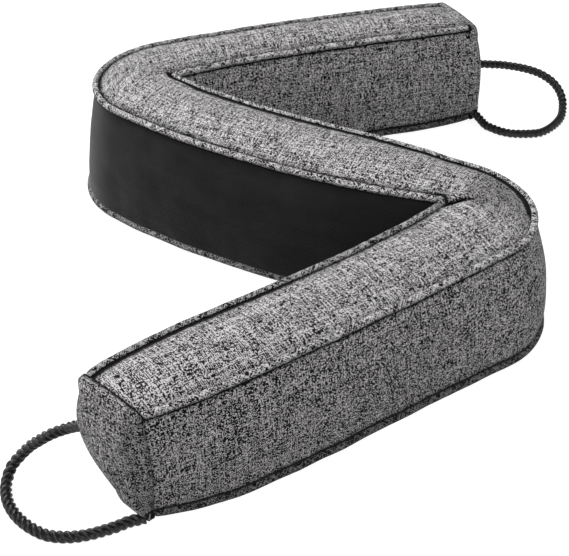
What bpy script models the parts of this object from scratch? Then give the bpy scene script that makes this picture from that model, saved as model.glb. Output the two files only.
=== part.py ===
"""Draught excluder: a long, box-section stuffed strip that lies folded in a zigzag on the floor.

The filled cover is swept along a plan route of three legs and two folds. Each fold turns about
the corner where its inner seams meet. A strip of loop pile covers one long side, piping runs
along the four long edges, a crowned panel closes each end, and a twisted rope loop is sewn to
each end. Metres, +Z up, the base on Z = 0, the origin under the middle of the stuffed strip.
"""

import math
from dataclasses import dataclass

import bmesh
import bpy
from mathutils import Vector

# --- the section of the strip ---------------------------------------------------------------
HEIGHT = 0.090            # floor to the top seams, with their piping
PIPING_RADIUS = 0.0022
GAP = 0.0003              # left between pieces that touch
PILE_THICKNESS = 0.0018   # the loop-pile strip
PANEL_THICKNESS = 0.0020  # an end panel
CROWN = 0.0048            # rise of the top above its seams
END_CROWN = 0.0012        # and at the two ends, where it is sewn to a panel
SIDE_CROWN = 0.0042       # swell of a side between its two seams
TOP_SEAM = HEIGHT - PIPING_RADIUS - GAP   # height of the middle of the top piping
BASE_SEAM = PIPING_RADIUS + 2 * GAP       # and of the base piping, which clears the floor
SEAT = PIPING_RADIUS + GAP                # hollow that a line of piping lies in
SIDE_INSET = 0.0004       # the sides stand this far inside the piping's middle
PANEL_LAP = 0.0010        # centre of a panel's rounded corner, in from the piping's middle
LEFT, RIGHT = 1.0, -1.0   # sides of the route as one walks along it: left pile, right grey
TOP_SHARES = (0.30, 0.62, 0.87)                  # of the way from the top's middle to its edge
SIDE_SHARES = (0.0, 0.16, 0.38, 0.62, 0.84, 1.0)  # of the way down a side
END_SHARES = (0.97, 0.89, 0.72, 0.42)            # size of the shrinking rings of an end

# --- the folds ------------------------------------------------------------------------------
FOLD_RADIUS = 0.0032      # inner seams round the corner of a fold
FOLD_RINGS = 11
LEG_RINGS = 10
CREASE_DEPTH = 0.0050     # how far the inner part of the top is drawn down
CREASE_RISE = 0.35        # share of that by which the outer part is pushed up
CREASE_SPREAD = math.radians(16)


@dataclass(frozen=True)
class End:
    """An end of the strip.

    Its middle, the heading of the route there, the width of the top, the slant of the end's
    seam, how much further along the route the base lies than the top, the swell of the end
    panel, and the spread of the base and the swell of the side, on the pile and grey sides.
    """

    x: float
    y: float
    heading: float
    width: float
    slant: float
    base_run: float
    panel_swell: float
    pile_spread: float
    grey_spread: float
    pile_swell: float
    grey_swell: float


@dataclass(frozen=True)
class Fold:
    """A fold.

    The plan corner of its inner seams, the side they are on, the headings before and after
    it, the width of the top there, and for its outside the spread of the base, which is how
    far the base seam lies outside the top seam, and the swell of the side between them.
    """

    x: float
    y: float
    inside: float
    heading_in: float
    heading_out: float
    width_in: float
    width_out: float
    spread: float
    swell: float


@dataclass(frozen=True)
class Leg:
    """A leg, half way along it: the width of the top and the spread of the base each side."""

    width: float
    grey_spread: float
    pile_spread: float


NEAR_END = End(x=-0.0993, y=-0.2253, heading=36.0, width=0.0440, slant=11.0, base_run=0.005,
               panel_swell=0.0080, pile_spread=-0.0220, grey_spread=-0.0050,
               pile_swell=0.0165, grey_swell=0.0042)
LEG_A = Leg(width=0.0550, grey_spread=0.0055, pile_spread=0.0055)
RIGHT_FOLD = Fold(x=0.0881, y=-0.0483, inside=LEFT, heading_in=41.0, heading_out=156.0,
                  width_in=0.0605, width_out=0.0475, spread=0.0155, swell=0.0065)
LEG_B = Leg(width=0.0620, grey_spread=0.0060, pile_spread=0.0100)
LEFT_FOLD = Fold(x=-0.0874, y=0.1142, inside=RIGHT, heading_in=139.0, heading_out=24.0,
                 width_in=0.0640, width_out=0.0520, spread=0.0120, swell=0.0020)
LEG_C = Leg(width=0.0490, grey_spread=0.0055, pile_spread=0.0055)
FAR_END = End(x=0.1275, y=0.2125, heading=14.0, width=0.0460, slant=13.0, base_run=0.011,
              panel_swell=0.0115, pile_spread=0.0, grey_spread=0.0, pile_swell=0.0042,
              grey_swell=0.0070)
SLANT_REACH = 0.25        # share of a leg over which a slanted end squares up
FOLD_SIDE = 0.65          # share of a fold's spread that is left where it meets a leg

# --- the rope loops -------------------------------------------------------------------------
ROPE_RADIUS = 0.0035
ROPE_VALLEY = 0.74        # radius between two strands, as a share of that over a strand
ROPE_PITCH = 0.0126       # length of one full turn of the strands
ROPE_STRANDS = 3
ROPE_STEP = 0.0014
NEAR_LOOP = (
    (-0.1206, -0.2049, 0.0440), (-0.1246, -0.2012, 0.0413), (-0.1306, -0.1978, 0.0363),
    (-0.1366, -0.1968, 0.0329), (-0.1427, -0.1971, 0.0300), (-0.1491, -0.1971, 0.0255),
    (-0.1555, -0.1965, 0.0198), (-0.1617, -0.1978, 0.0135), (-0.1667, -0.2015, 0.0085),
    (-0.1687, -0.2076, 0.0048), (-0.1684, -0.2153, 0.0037), (-0.1656, -0.2243, 0.0036),
    (-0.1608, -0.2323, 0.0036), (-0.1553, -0.2383, 0.0036), (-0.1488, -0.2435, 0.0036),
    (-0.1407, -0.2478, 0.0036), (-0.1325, -0.2493, 0.0036), (-0.1243, -0.2491, 0.0036),
    (-0.1163, -0.2475, 0.0036), (-0.1088, -0.2448, 0.0036), (-0.1018, -0.2419, 0.0036),
    (-0.0959, -0.2387, 0.0036), (-0.0907, -0.2370, 0.0036),
)
FAR_LOOP = (
    (0.1330, 0.2411, 0.0305), (0.1374, 0.2420, 0.0305), (0.1436, 0.2415, 0.0304),
    (0.1512, 0.2398, 0.0303), (0.1592, 0.2383, 0.0303), (0.1672, 0.2377, 0.0302),
    (0.1755, 0.2369, 0.0302), (0.1838, 0.2357, 0.0297), (0.1920, 0.2337, 0.0292),
    (0.2009, 0.2311, 0.0280), (0.2099, 0.2282, 0.0254), (0.2181, 0.2239, 0.0213),
    (0.2236, 0.2190, 0.0160), (0.2264, 0.2132, 0.0102), (0.2260, 0.2059, 0.0060),
    (0.2230, 0.1957, 0.0038), (0.2165, 0.1847, 0.0036), (0.2087, 0.1759, 0.0036),
    (0.2012, 0.1706, 0.0036), (0.1929, 0.1690, 0.0036), (0.1845, 0.1688, 0.0036),
    (0.1766, 0.1697, 0.0036), (0.1688, 0.1732, 0.0036), (0.1630, 0.1778, 0.0036),
    (0.1581, 0.1827, 0.0036), (0.1552, 0.1889, 0.0042), (0.1512, 0.1952, 0.0062),
)


@dataclass(frozen=True)
class Ring:
    """One cross-section: its middle, heading and width, and how each side stands there."""

    x: float
    y: float
    heading: float
    width: float
    spread: dict
    swell: dict
    crease: float = 0.0
    inside: float = 0.0
    base_run: float = 0.0
    crown: float = CROWN

    def place(self, across, up, back=0.0):
        """A point of the section: across to the left, up, and back along the route."""
        ahead = Vector((math.cos(self.heading), math.sin(self.heading), 0.0))
        left = Vector((-ahead.y, ahead.x, 0.0))
        on = self.base_run * (1.0 - up / HEIGHT) - back
        return Vector((self.x, self.y, up)) + left * across + ahead * on


def smooth(value):
    """Smooth step from 0 at 0 to 1 at 1."""
    value = min(1.0, max(0.0, value))
    return value * value * (3.0 - 2.0 * value)


def mix(first, second, share):
    return first + (second - first) * share


def towards(half_way, at_end, share, power):
    """A value along a leg that is half_way at its middle and at_end, a pair, at its ends."""
    return mix(half_way, at_end[0] if share < 0.5 else at_end[1], abs(2 * share - 1) ** power)


def fold_sides(fold, share):
    """Spread of the base and swell of the sides at a share of the way round a fold."""
    outside = -fold.inside
    bulge = mix(FOLD_SIDE, 1.0, math.sin(math.pi * share))
    return ({fold.inside: 0.0, outside: fold.spread * bulge},
            {fold.inside: 0.0, outside: fold.swell})


def fold_rings(fold):
    """Rings that fan round the inner corner of a fold."""
    rings = []
    for step in range(FOLD_RINGS):
        share = step / (FOLD_RINGS - 1)
        heading = math.radians(mix(fold.heading_in, fold.heading_out, share))
        width = mix(fold.width_in, fold.width_out, smooth(share))
        outward = Vector((math.sin(heading), -math.cos(heading))) * fold.inside
        middle = Vector((fold.x, fold.y)) + outward * (FOLD_RADIUS + width / 2)
        turned = math.radians(fold.heading_out - fold.heading_in) * (share - 0.5)
        crease = CREASE_DEPTH * math.exp(-((turned / CREASE_SPREAD) ** 2))
        spread, swell = fold_sides(fold, share)
        rings.append(Ring(middle.x, middle.y, heading, width, spread, swell, crease, fold.inside))
    return rings


def leg_rings(leg, first, last, headings, slants=(0.0, 0.0)):
    """Rings between two sections, on a smooth curve that starts and ends at these headings."""
    points = [Vector((ring.x, ring.y)) for ring in (first, last)]
    length = (points[1] - points[0]).length
    tangents = [Vector((math.cos(heading), math.sin(heading))) * length for heading in headings]
    half_way = {LEFT: leg.pile_spread, RIGHT: leg.grey_spread}
    rings = []
    for step in range(1, LEG_RINGS):
        share = step / LEG_RINGS
        square, cube = share * share, share ** 3
        point = (points[0] * (2 * cube - 3 * square + 1) + tangents[0] * (cube - 2 * square + share)
                 + points[1] * (3 * square - 2 * cube) + tangents[1] * (cube - square))
        slope = (points[0] * (6 * square - 6 * share)
                 + tangents[0] * (3 * square - 4 * share + 1)
                 + points[1] * (6 * share - 6 * square) + tangents[1] * (3 * square - 2 * share))
        fade = 1 - smooth(share / SLANT_REACH), 1 - smooth((1 - share) / SLANT_REACH)
        slant = slants[0] * fade[0] + slants[1] * fade[1]
        spread, swell = {}, {}
        for side in (LEFT, RIGHT):
            ends = first.spread[side], last.spread[side]
            spread[side] = towards(half_way[side], ends, share, 2 if max(ends) > 0 else 5)
            ends = first.swell[side], last.swell[side]
            swell[side] = towards(SIDE_CROWN, ends, share, 5)
        rings.append(Ring(
            point.x, point.y, math.atan2(slope.y, slope.x) + math.radians(slant),
            towards(leg.width, (first.width, last.width), share, 3), spread, swell,
            base_run=first.base_run * fade[0] + last.base_run * fade[1]))
    return rings


def end_ring(end):
    """The ring at an end of the strip, turned by the slant of its seam."""
    return Ring(end.x, end.y, math.radians(end.heading + end.slant), end.width,
                {LEFT: end.pile_spread, RIGHT: end.grey_spread},
                {LEFT: end.pile_swell, RIGHT: end.grey_swell},
                base_run=end.base_run, crown=END_CROWN)


def route():
    """All the rings, from the near end to the far end."""
    right_fold, left_fold = fold_rings(RIGHT_FOLD), fold_rings(LEFT_FOLD)
    near, far = end_ring(NEAR_END), end_ring(FAR_END)
    leg_a = leg_rings(LEG_A, near, right_fold[0],
                      (math.radians(NEAR_END.heading), right_fold[0].heading),
                      (NEAR_END.slant, 0.0))
    leg_b = leg_rings(LEG_B, right_fold[-1], left_fold[0],
                      (right_fold[-1].heading, left_fold[0].heading))
    leg_c = leg_rings(LEG_C, left_fold[-1], far,
                      (left_fold[-1].heading, math.radians(FAR_END.heading)),
                      (0.0, FAR_END.slant))
    return [near, *leg_a, *right_fold, *leg_b, *left_fold, *leg_c, far]


def arc(across, up, radius, first, last, steps):
    """Points on an arc about (across, up), angles in degrees from straight out."""
    angles = [math.radians(mix(first, last, step / steps)) for step in range(steps + 1)]
    return [(across + radius * math.cos(a), up + radius * math.sin(a)) for a in angles]


def top_height(crown, share):
    """Height of the crowned top at a share of the way from its middle to its edge."""
    edge = TOP_SEAM + SEAT * math.sin(math.radians(60))
    return edge + crown * (1 - share * share) ** 0.75


def top_points(half_top, crown, crease):
    """The crowned top from its middle towards a seam, outwards."""
    edge = half_top - SEAT / 2
    return [(edge * share, top_height(crown, share) - crease * share) for share in TOP_SHARES]


def side_points(half_top, half_base, swell, inset=0.0):
    """A side from below its top seam to above its base seam."""
    points = []
    for share in SIDE_SHARES:
        across = mix(half_top, half_base, share) + swell * math.sin(math.pi * share) ** 0.8
        points.append((across - inset, mix(TOP_SEAM - SEAT - GAP, BASE_SEAM + SEAT + GAP, share)))
    return points


def cover_half(ring, side):
    """Half of the cover's section, from the top's middle to the base, as (outwards, up)."""
    half_top = ring.width / 2
    half_base = half_top + ring.spread[side]
    inset = SIDE_INSET + (PILE_THICKNESS + GAP if side == LEFT else 0.0)
    deep = 200 if side == LEFT else 255   # how far round the piping its hollow goes
    crease = ring.crease * (1.0 if side == ring.inside else -CREASE_RISE)
    points = top_points(half_top, ring.crown, crease)
    points += arc(half_top, TOP_SEAM, SEAT, 120, deep, 3)
    points += side_points(half_top, half_base, ring.swell[side], inset)
    points += arc(half_base, BASE_SEAM, SEAT, 360 - deep, 230, 3)
    points.append((half_base - 2 * SEAT, 0.0))
    return points


def closed_half(ring, side):
    """Half of an end panel's outline, which reaches over the ends of the piping."""
    half_top = ring.width / 2
    half_base = half_top + ring.spread[side]
    radius = PIPING_RADIUS + PANEL_LAP
    points = top_points(half_top, ring.crown, 0.0)
    points += arc(half_top - PANEL_LAP, TOP_SEAM - PANEL_LAP, radius, 88, 2, 3)
    points += side_points(half_top, half_base, ring.swell[side])
    points += arc(half_base - PANEL_LAP, radius, radius, -2, -88, 3)
    points.append((half_base - 3 * SEAT, 0.0))
    return points


def outline(ring, half):
    """A whole section: up the left half, over the top and down the right half."""
    left = [(across, up) for across, up in reversed(half(ring, LEFT))]
    right = [(-across, up) for across, up in half(ring, RIGHT)]
    return left + [(0.0, top_height(ring.crown, 0.0))] + right


def swollen_end(ring, end, half, offset=0.0):
    """Rings that close an end with a crown, each smaller and further out than the last."""
    section = outline(ring, half)
    outwards = 1.0 if end is NEAR_END else -1.0
    rings = []
    for share in END_SHARES:
        out = outwards * (end.panel_swell * math.sqrt(1 - share * share) + offset)
        rings.append([ring.place(across * share, HEIGHT / 2 + (up - HEIGHT / 2) * share, out)
                      for across, up in section])
    return rings


def loft(name, rings, material):
    """A closed body through rings of points, its first and last ring filled."""
    mesh = bmesh.new()
    loops = [[mesh.verts.new(point) for point in ring] for ring in rings]
    for one, two in zip(loops, loops[1:]):
        for index in range(len(one)):
            after = (index + 1) % len(one)
            mesh.faces.new((one[index], one[after], two[after], two[index]))
    for ring in (loops[0], loops[-1]):
        mesh.faces.new(ring)
    bmesh.ops.triangulate(mesh, faces=[f for f in mesh.faces if len(f.verts) > 4])
    bmesh.ops.recalc_face_normals(mesh, faces=mesh.faces)
    data = bpy.data.meshes.new(name)
    mesh.to_mesh(data)
    mesh.free()
    data.materials.append(material)
    data.shade_smooth()
    data.set_sharp_from_angle(angle=math.radians(50))
    solid = bpy.data.objects.new(name, data)
    bpy.context.scene.collection.objects.link(solid)
    return solid


def cloth(name, colour, roughness, sheen=0.0):
    """A plain fabric material."""
    material = bpy.data.materials.new(name)
    material.use_nodes = True
    shader = material.node_tree.nodes["Principled BSDF"]
    shader.inputs["Base Color"].default_value = (*colour, 1.0)
    shader.inputs["Roughness"].default_value = roughness
    shader.inputs["Metallic"].default_value = 0.0
    shader.inputs["Sheen Weight"].default_value = sheen
    return material


def make_cover(rings, material):
    """The stuffed strip: grey top, grey side and base, filled and crowned."""
    sections = swollen_end(rings[0], NEAR_END, cover_half)[::-1]
    for ring in rings:
        sections.append([ring.place(across, up) for across, up in outline(ring, cover_half)])
    sections += swollen_end(rings[-1], FAR_END, cover_half)
    return loft("cover", sections, material)


def make_pile_side(rings, material):
    """The strip of loop pile along the left side, between its two lines of piping."""
    sections = []
    for ring in rings:
        half_top = ring.width / 2
        outer = side_points(half_top, half_top + ring.spread[LEFT], ring.swell[LEFT])
        inner = [(across - PILE_THICKNESS, up) for across, up in reversed(outer)]
        sections.append([ring.place(across, up) for across, up in outer + inner])
    return loft("pile_side", sections, material)


def make_end_panel(name, ring, end, material):
    """A crowned end panel: from the middle of its inner face, round its edge, to its outer."""
    section = outline(ring, closed_half)
    outwards = 1.0 if end is NEAR_END else -1.0
    inner = swollen_end(ring, end, closed_half, GAP)[::-1]
    outer = swollen_end(ring, end, closed_half, GAP + PANEL_THICKNESS)
    edges = [[ring.place(across, up, outwards * back) for across, up in section]
             for back in (GAP, GAP + PANEL_THICKNESS / 2)]
    return loft(name, inner + edges + outer, material)


def make_piping(name, rings, side, at_top, material):
    """Piping along one long edge."""
    sections = []
    for ring in rings:
        seam = ring.width / 2 + (0.0 if at_top else ring.spread[side])
        up = TOP_SEAM if at_top else BASE_SEAM
        circle = arc(side * seam, up, PIPING_RADIUS, 0, 360 - 360 / 7, 6)
        sections.append([ring.place(across, height) for across, height in circle])
    return loft(name, sections, material)


def curve_points(points, spacing):
    """Even points on the smooth curve through hand-set points."""
    points = [Vector(point) for point in points]
    ends = [2 * points[0] - points[1], 2 * points[-1] - points[-2]]
    padded = [ends[0], *points, ends[1]]
    fine = []
    for before, first, second, after in zip(padded, padded[1:], padded[2:], padded[3:]):
        for step in range(12):
            t = step / 12
            fine.append(0.5 * (2 * first + (second - before) * t
                               + (2 * before - 5 * first + 4 * second - after) * t * t
                               + (3 * first - before - 3 * second + after) * t ** 3))
    fine.append(points[-1])
    runs = [0.0]
    for one, two in zip(fine, fine[1:]):
        runs.append(runs[-1] + (two - one).length)
    count = max(2, round(runs[-1] / spacing))
    even, at = [], 0
    for step in range(count + 1):
        target = runs[-1] * step / count
        while at < len(runs) - 2 and runs[at + 1] < target:
            at += 1
        share = (target - runs[at]) / (runs[at + 1] - runs[at])
        even.append(fine[at].lerp(fine[at + 1], share))
    return even


def make_rope(name, points, material):
    """A twisted rope: strands that wind round the route, each a ridge of the section."""
    centres = curve_points(points, ROPE_STEP)
    turn = 2 * math.pi * ROPE_STEP / ROPE_PITCH
    sections = []
    for index, centre in enumerate(centres):
        ahead = centres[min(index + 1, len(centres) - 1)] - centres[max(index - 1, 0)]
        ahead.normalize()
        across = ahead.cross(Vector((0, 0, 1))).normalized()
        up = across.cross(ahead)
        ring = []
        for corner in range(3 * ROPE_STRANDS):
            radius = ROPE_RADIUS * (ROPE_VALLEY if corner % 3 == 0 else 1.0)
            angle = 2 * math.pi * corner / (3 * ROPE_STRANDS) - turn * index
            ring.append(centre + radius * (across * math.cos(angle) + up * math.sin(angle)))
        sections.append(ring)
    return loft(name, sections, material)


def main():
    for leftover in list(bpy.data.objects):
        bpy.data.objects.remove(leftover, do_unlink=True)
    heather = cloth("heather_grey_cloth", (0.115, 0.115, 0.118), 0.92)
    piping = cloth("heather_piping_cloth", (0.150, 0.150, 0.154), 0.90)
    pile = cloth("black_loop_pile", (0.012, 0.012, 0.013), 0.95, sheen=0.3)
    cord = cloth("black_twisted_cord", (0.008, 0.008, 0.009), 0.42)
    rings = route()
    make_cover(rings, heather)
    make_pile_side(rings, pile)
    make_end_panel("end_panel_near", rings[0], NEAR_END, heather)
    make_end_panel("end_panel_far", rings[-1], FAR_END, heather)
    for name, side, at_top in (("piping_top_grey", RIGHT, True), ("piping_top_pile", LEFT, True),
                               ("piping_base_grey", RIGHT, False),
                               ("piping_base_pile", LEFT, False)):
        make_piping(name, rings, side, at_top, piping)
    make_rope("rope_loop_near", NEAR_LOOP, cord)
    make_rope("rope_loop_far", FAR_LOOP, cord)


main()
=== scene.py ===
"""The looks of a draught excluder: a stuffed strip of heather cloth that lies in a zigzag.

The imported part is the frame. Each solid of it gets a finished piece here that follows the same
route in finer steps, with sewn grooves, puckers, creases, strands and a weave. Metres, +Z up.
"""

import logging
import math
from dataclasses import dataclass
from enum import Enum, IntEnum
from typing import Sequence, Union

import bpy
import numpy as np
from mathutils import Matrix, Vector


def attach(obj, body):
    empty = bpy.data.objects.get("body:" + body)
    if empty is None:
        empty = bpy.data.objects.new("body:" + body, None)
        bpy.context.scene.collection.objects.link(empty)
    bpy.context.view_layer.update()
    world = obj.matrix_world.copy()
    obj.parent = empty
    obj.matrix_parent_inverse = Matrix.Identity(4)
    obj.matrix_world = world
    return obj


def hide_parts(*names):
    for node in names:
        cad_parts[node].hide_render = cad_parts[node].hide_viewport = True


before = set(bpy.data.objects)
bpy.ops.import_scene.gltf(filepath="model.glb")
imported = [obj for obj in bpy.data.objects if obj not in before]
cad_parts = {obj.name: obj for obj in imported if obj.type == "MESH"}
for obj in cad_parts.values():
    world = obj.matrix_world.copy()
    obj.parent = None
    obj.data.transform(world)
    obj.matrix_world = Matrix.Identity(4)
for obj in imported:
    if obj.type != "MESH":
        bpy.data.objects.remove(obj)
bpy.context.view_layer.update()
LOG = logging.getLogger("draught_excluder")

Colour = tuple[float, float, float]
Array = np.ndarray

# The sizes of the strip, as in its solids.
HEIGHT = 0.090
PIPING_RADIUS = 0.0022
GAP = 0.0003
SEAT = PIPING_RADIUS + GAP
TOP_SEAM = HEIGHT - PIPING_RADIUS - GAP
BASE_SEAM = PIPING_RADIUS + 2 * GAP
TOP_CLOTH = TOP_SEAM + SEAT * math.sin(math.radians(60))
CROWN = 0.0048
END_CROWN = 0.0012
CROWN_RUN = 0.030
SIDE_CROWN = 0.0042
PILE_THICKNESS = 0.0018
PANEL_THICKNESS = 0.0020
FOLD_RADIUS = 0.0032
SLANT_REACH = 0.25
ROPE_RADIUS = 0.0035
ROPE_PITCH = 0.0126
ROPE_STRANDS = 3

# How finely the route is cut into rings, over how many of them its values are evened out, and
# the powers with which a leg's values turn into those of its ends.
FOLD_RINGS = 72
LEG_RINGS = 104
WIDTH_BLUR = 6
SIDE_BLUR = 8
SOON, EVENLY, LATE = 2, 3, 5

# The bands that close the skins behind an end panel, dark with painted shade, as shares of the
# section.
BACK_BANDS = (0.89, 0.72, 0.42)

# How far cloth that isn't the base stays off the floor.
CLEAR = 0.0002

# What each mesh stores for its finish: a UV map, and a painted shade at each point, which darkens
# seams, grooves, creases and other places where shade falls.
CLOTH_MAP = "Cloth"
PAINTED_SHADE_ATTRIBUTE = "crevice"

# Where the cloth map of upright cloth starts, by which the weave knows it and gives it its painted
# shade.
SIDE_CLOTH = 10.0


class Side(Enum):
    """The sides of the strip, as one walks along it. The value is the direction across."""

    PILE = 1.0
    GREY = -1.0


class Edge(Enum):
    """The heights at which a line of piping runs."""

    TOP = "top"
    BASE = "base"


class Zone(IntEnum):
    """The parts of the cover's section, from the top's middle down to the base's."""

    TOP = 0
    TOP_GROOVE = 1
    SIDE = 2
    BASE_GROOVE = 3
    BASE = 4


@dataclass(frozen=True)
class End:
    """An end of the route: its middle, heading, width and slant, and how its panel stands."""

    x: float
    y: float
    heading: float
    width: float
    slant: float
    base_run: float
    panel_swell: float
    pile_spread: float
    grey_spread: float
    pile_swell: float
    grey_swell: float

    def section(self) -> dict:
        """The section at the end, before it slants.

        Returns:
            Its values by name, those of the two sides as dictionaries.
        """
        return {"x": self.x, "y": self.y, "heading": math.radians(self.heading),
                "width": self.width, "base_run": self.base_run, "slant": self.slant,
                "spread": {Side.PILE: self.pile_spread, Side.GREY: self.grey_spread},
                "swell": {Side.PILE: self.pile_swell, Side.GREY: self.grey_swell}}


@dataclass(frozen=True)
class Fold:
    """A fold: its inner corner, inner side, headings, widths, and how its outside leans.

    beside is the share of the spread that is left where the fold meets its legs.
    """

    x: float
    y: float
    inside: Side
    heading_in: float
    heading_out: float
    width_in: float
    width_out: float
    spread: float
    beside: float
    swell: float

    def sections(self) -> dict:
        """Sections that fan round the inner corner of the fold.

        Returns:
            Their values by name, as arrays.
        """
        share = np.linspace(0.0, 1.0, FOLD_RINGS)
        heading = np.radians(mix(self.heading_in, self.heading_out, share))
        width = mix(self.width_in, self.width_out, smooth(share))
        inside, outside = self.inside.value, Side(-self.inside.value)
        bulge = mix(self.beside, 1.0, np.sin(math.pi * share))
        return {"x": self.x + inside * np.sin(heading) * (FOLD_RADIUS + width / 2),
                "y": self.y - inside * np.cos(heading) * (FOLD_RADIUS + width / 2),
                "heading": heading, "width": width, "base_run": 0.0 * share,
                "spread": {self.inside: 0.0 * share, outside: self.spread * bulge},
                "swell": {self.inside: 0.0 * share, outside: self.swell + 0.0 * share}}


@dataclass(frozen=True)
class Leg:
    """A leg, half way along it: the width of the top and the spread of the base each side."""

    width: float
    grey_spread: float
    pile_spread: float

    def spread(self, side: Side) -> float:
        """The spread of the base on a side."""
        return self.pile_spread if side is Side.PILE else self.grey_spread


# The route of the solids, its widths and swells trimmed to the photograph.
NEAR_END = End(-0.0993, -0.2253, 36.0, 0.0440, 11.0, 0.005, panel_swell=0.0080,
               pile_spread=-0.0220, grey_spread=-0.0050, pile_swell=0.0242, grey_swell=0.0042)
FAR_END = End(0.1275, 0.2125, 14.0, 0.0450, 13.0, 0.011, panel_swell=0.0135,
              pile_spread=0.0, grey_spread=0.0, pile_swell=0.0042, grey_swell=0.0070)
RIGHT_FOLD = Fold(0.0881, -0.0483, Side.PILE, 41.0, 156.0, 0.0620, 0.0450, 0.0160, 0.65, 0.0058)
LEFT_FOLD = Fold(-0.0874, 0.1142, Side.GREY, 139.0, 24.0, 0.0618, 0.0500, 0.0122, 0.95, 0.0020)
LEG_A = Leg(0.0550, 0.0055, 0.0055)
LEG_B = Leg(0.0620, 0.0060, 0.0100)
LEG_C = Leg(0.0466, 0.0030, 0.0055)


class Tip(Enum):
    """The ends of the strip. The value is the direction out of the end, against the route."""

    NEAR = 1.0
    FAR = -1.0

    @property
    def end(self) -> End:
        """The end of the route there."""
        return NEAR_END if self is Tip.NEAR else FAR_END


# The middles of the two ropes, from one sewn end to the other, as in their solids.
NEAR_LOOP = (
    (-0.1206, -0.2049, 0.0440), (-0.1246, -0.2012, 0.0413), (-0.1306, -0.1978, 0.0363),
    (-0.1366, -0.1968, 0.0329), (-0.1427, -0.1971, 0.0300), (-0.1491, -0.1971, 0.0255),
    (-0.1555, -0.1965, 0.0198), (-0.1617, -0.1978, 0.0135), (-0.1667, -0.2015, 0.0085),
    (-0.1687, -0.2076, 0.0048), (-0.1684, -0.2153, 0.0037), (-0.1656, -0.2243, 0.0036),
    (-0.1608, -0.2323, 0.0036), (-0.1553, -0.2383, 0.0036), (-0.1488, -0.2435, 0.0036),
    (-0.1407, -0.2478, 0.0036), (-0.1325, -0.2493, 0.0036), (-0.1243, -0.2491, 0.0036),
    (-0.1163, -0.2475, 0.0036), (-0.1088, -0.2448, 0.0036), (-0.1018, -0.2419, 0.0036),
    (-0.0959, -0.2387, 0.0036), (-0.0907, -0.2370, 0.0036),
)
FAR_LOOP = (
    (0.1330, 0.2411, 0.0305), (0.1374, 0.2420, 0.0305), (0.1436, 0.2415, 0.0304),
    (0.1512, 0.2398, 0.0303), (0.1592, 0.2383, 0.0303), (0.1672, 0.2377, 0.0302),
    (0.1755, 0.2369, 0.0302), (0.1838, 0.2357, 0.0297), (0.1920, 0.2337, 0.0292),
    (0.2009, 0.2311, 0.0280), (0.2099, 0.2282, 0.0254), (0.2181, 0.2239, 0.0213),
    (0.2236, 0.2190, 0.0160), (0.2264, 0.2132, 0.0102), (0.2260, 0.2059, 0.0060),
    (0.2230, 0.1957, 0.0038), (0.2165, 0.1847, 0.0036), (0.2087, 0.1759, 0.0036),
    (0.2012, 0.1706, 0.0036), (0.1929, 0.1690, 0.0036), (0.1845, 0.1688, 0.0036),
    (0.1766, 0.1697, 0.0036), (0.1688, 0.1732, 0.0036), (0.1630, 0.1778, 0.0036),
    (0.1581, 0.1827, 0.0036), (0.1552, 0.1889, 0.0042), (0.1512, 0.1952, 0.0062),
)


# --- shader graphs ----------------------------------------------------------------------------


class Wire:
    """An output of a shader graph, with arithmetic that adds Math nodes."""

    def __init__(self, graph: "ShaderGraph", socket: bpy.types.NodeSocket) -> None:
        """Wraps a socket of a graph."""
        self.graph = graph
        self.socket = socket

    def _math(self, operation: str, *others: "Value", flipped: bool = False) -> "Wire":
        """Adds a Math node.

        Args:
            operation: Blender's name of the operation.
            others: The values after this one.
            flipped: Whether this wire is the second value.

        Returns:
            The node's result.
        """
        values = [self, *others]
        if flipped:
            values.reverse()
        return self.graph.node("ShaderNodeMath", {"operation": operation},
                               dict(enumerate(values)))

    def __add__(self, other: "Value") -> "Wire":
        """Sum."""
        return self._math("ADD", other)

    def __sub__(self, other: "Value") -> "Wire":
        """Difference."""
        return self._math("SUBTRACT", other)

    def __rsub__(self, other: "Value") -> "Wire":
        """Difference from a number."""
        return self._math("SUBTRACT", other, flipped=True)

    def __mul__(self, other: "Value") -> "Wire":
        """Product."""
        return self._math("MULTIPLY", other)

    def __truediv__(self, other: "Value") -> "Wire":
        """Quotient."""
        return self._math("DIVIDE", other)

    __radd__ = __add__
    __rmul__ = __mul__

    def whole(self) -> "Wire":
        """The whole part, rounded down."""
        return self._math("FLOOR")

    def part(self) -> "Wire":
        """What is left over the whole part."""
        return self._math("FRACT")

    def size(self) -> "Wire":
        """The value without its sign."""
        return self._math("ABSOLUTE")

    def odd(self) -> "Wire":
        """1 where a whole number is odd, 0 where it is even."""
        return self._math("FLOORED_MODULO", 2.0)

    def cosine(self) -> "Wire":
        """Cosine of an angle in radians."""
        return self._math("COSINE")

    def limited(self) -> "Wire":
        """The value held between 0 and 1."""
        return self.graph.node("ShaderNodeClamp", {}, {"Value": self})

    def at_least(self, other: "Value") -> "Wire":
        """The greater of two values."""
        return self._math("MAXIMUM", other)

    def rise(self, start: float, stop: float) -> "Wire":
        """A smooth step.

        Args:
            start: Value at which it leaves 0.
            stop: Value at which it reaches 1.

        Returns:
            The step.
        """
        return self.graph.node("ShaderNodeMapRange", {"interpolation_type": "SMOOTHSTEP"},
                               {"Value": self, "From Min": start, "From Max": stop})

    def to(self, other: "Wire", share: "Value") -> "Wire":
        """A value that lies this share of the way from this one to another."""
        return self + (other - self) * share


Value = Union[Wire, float]


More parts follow.
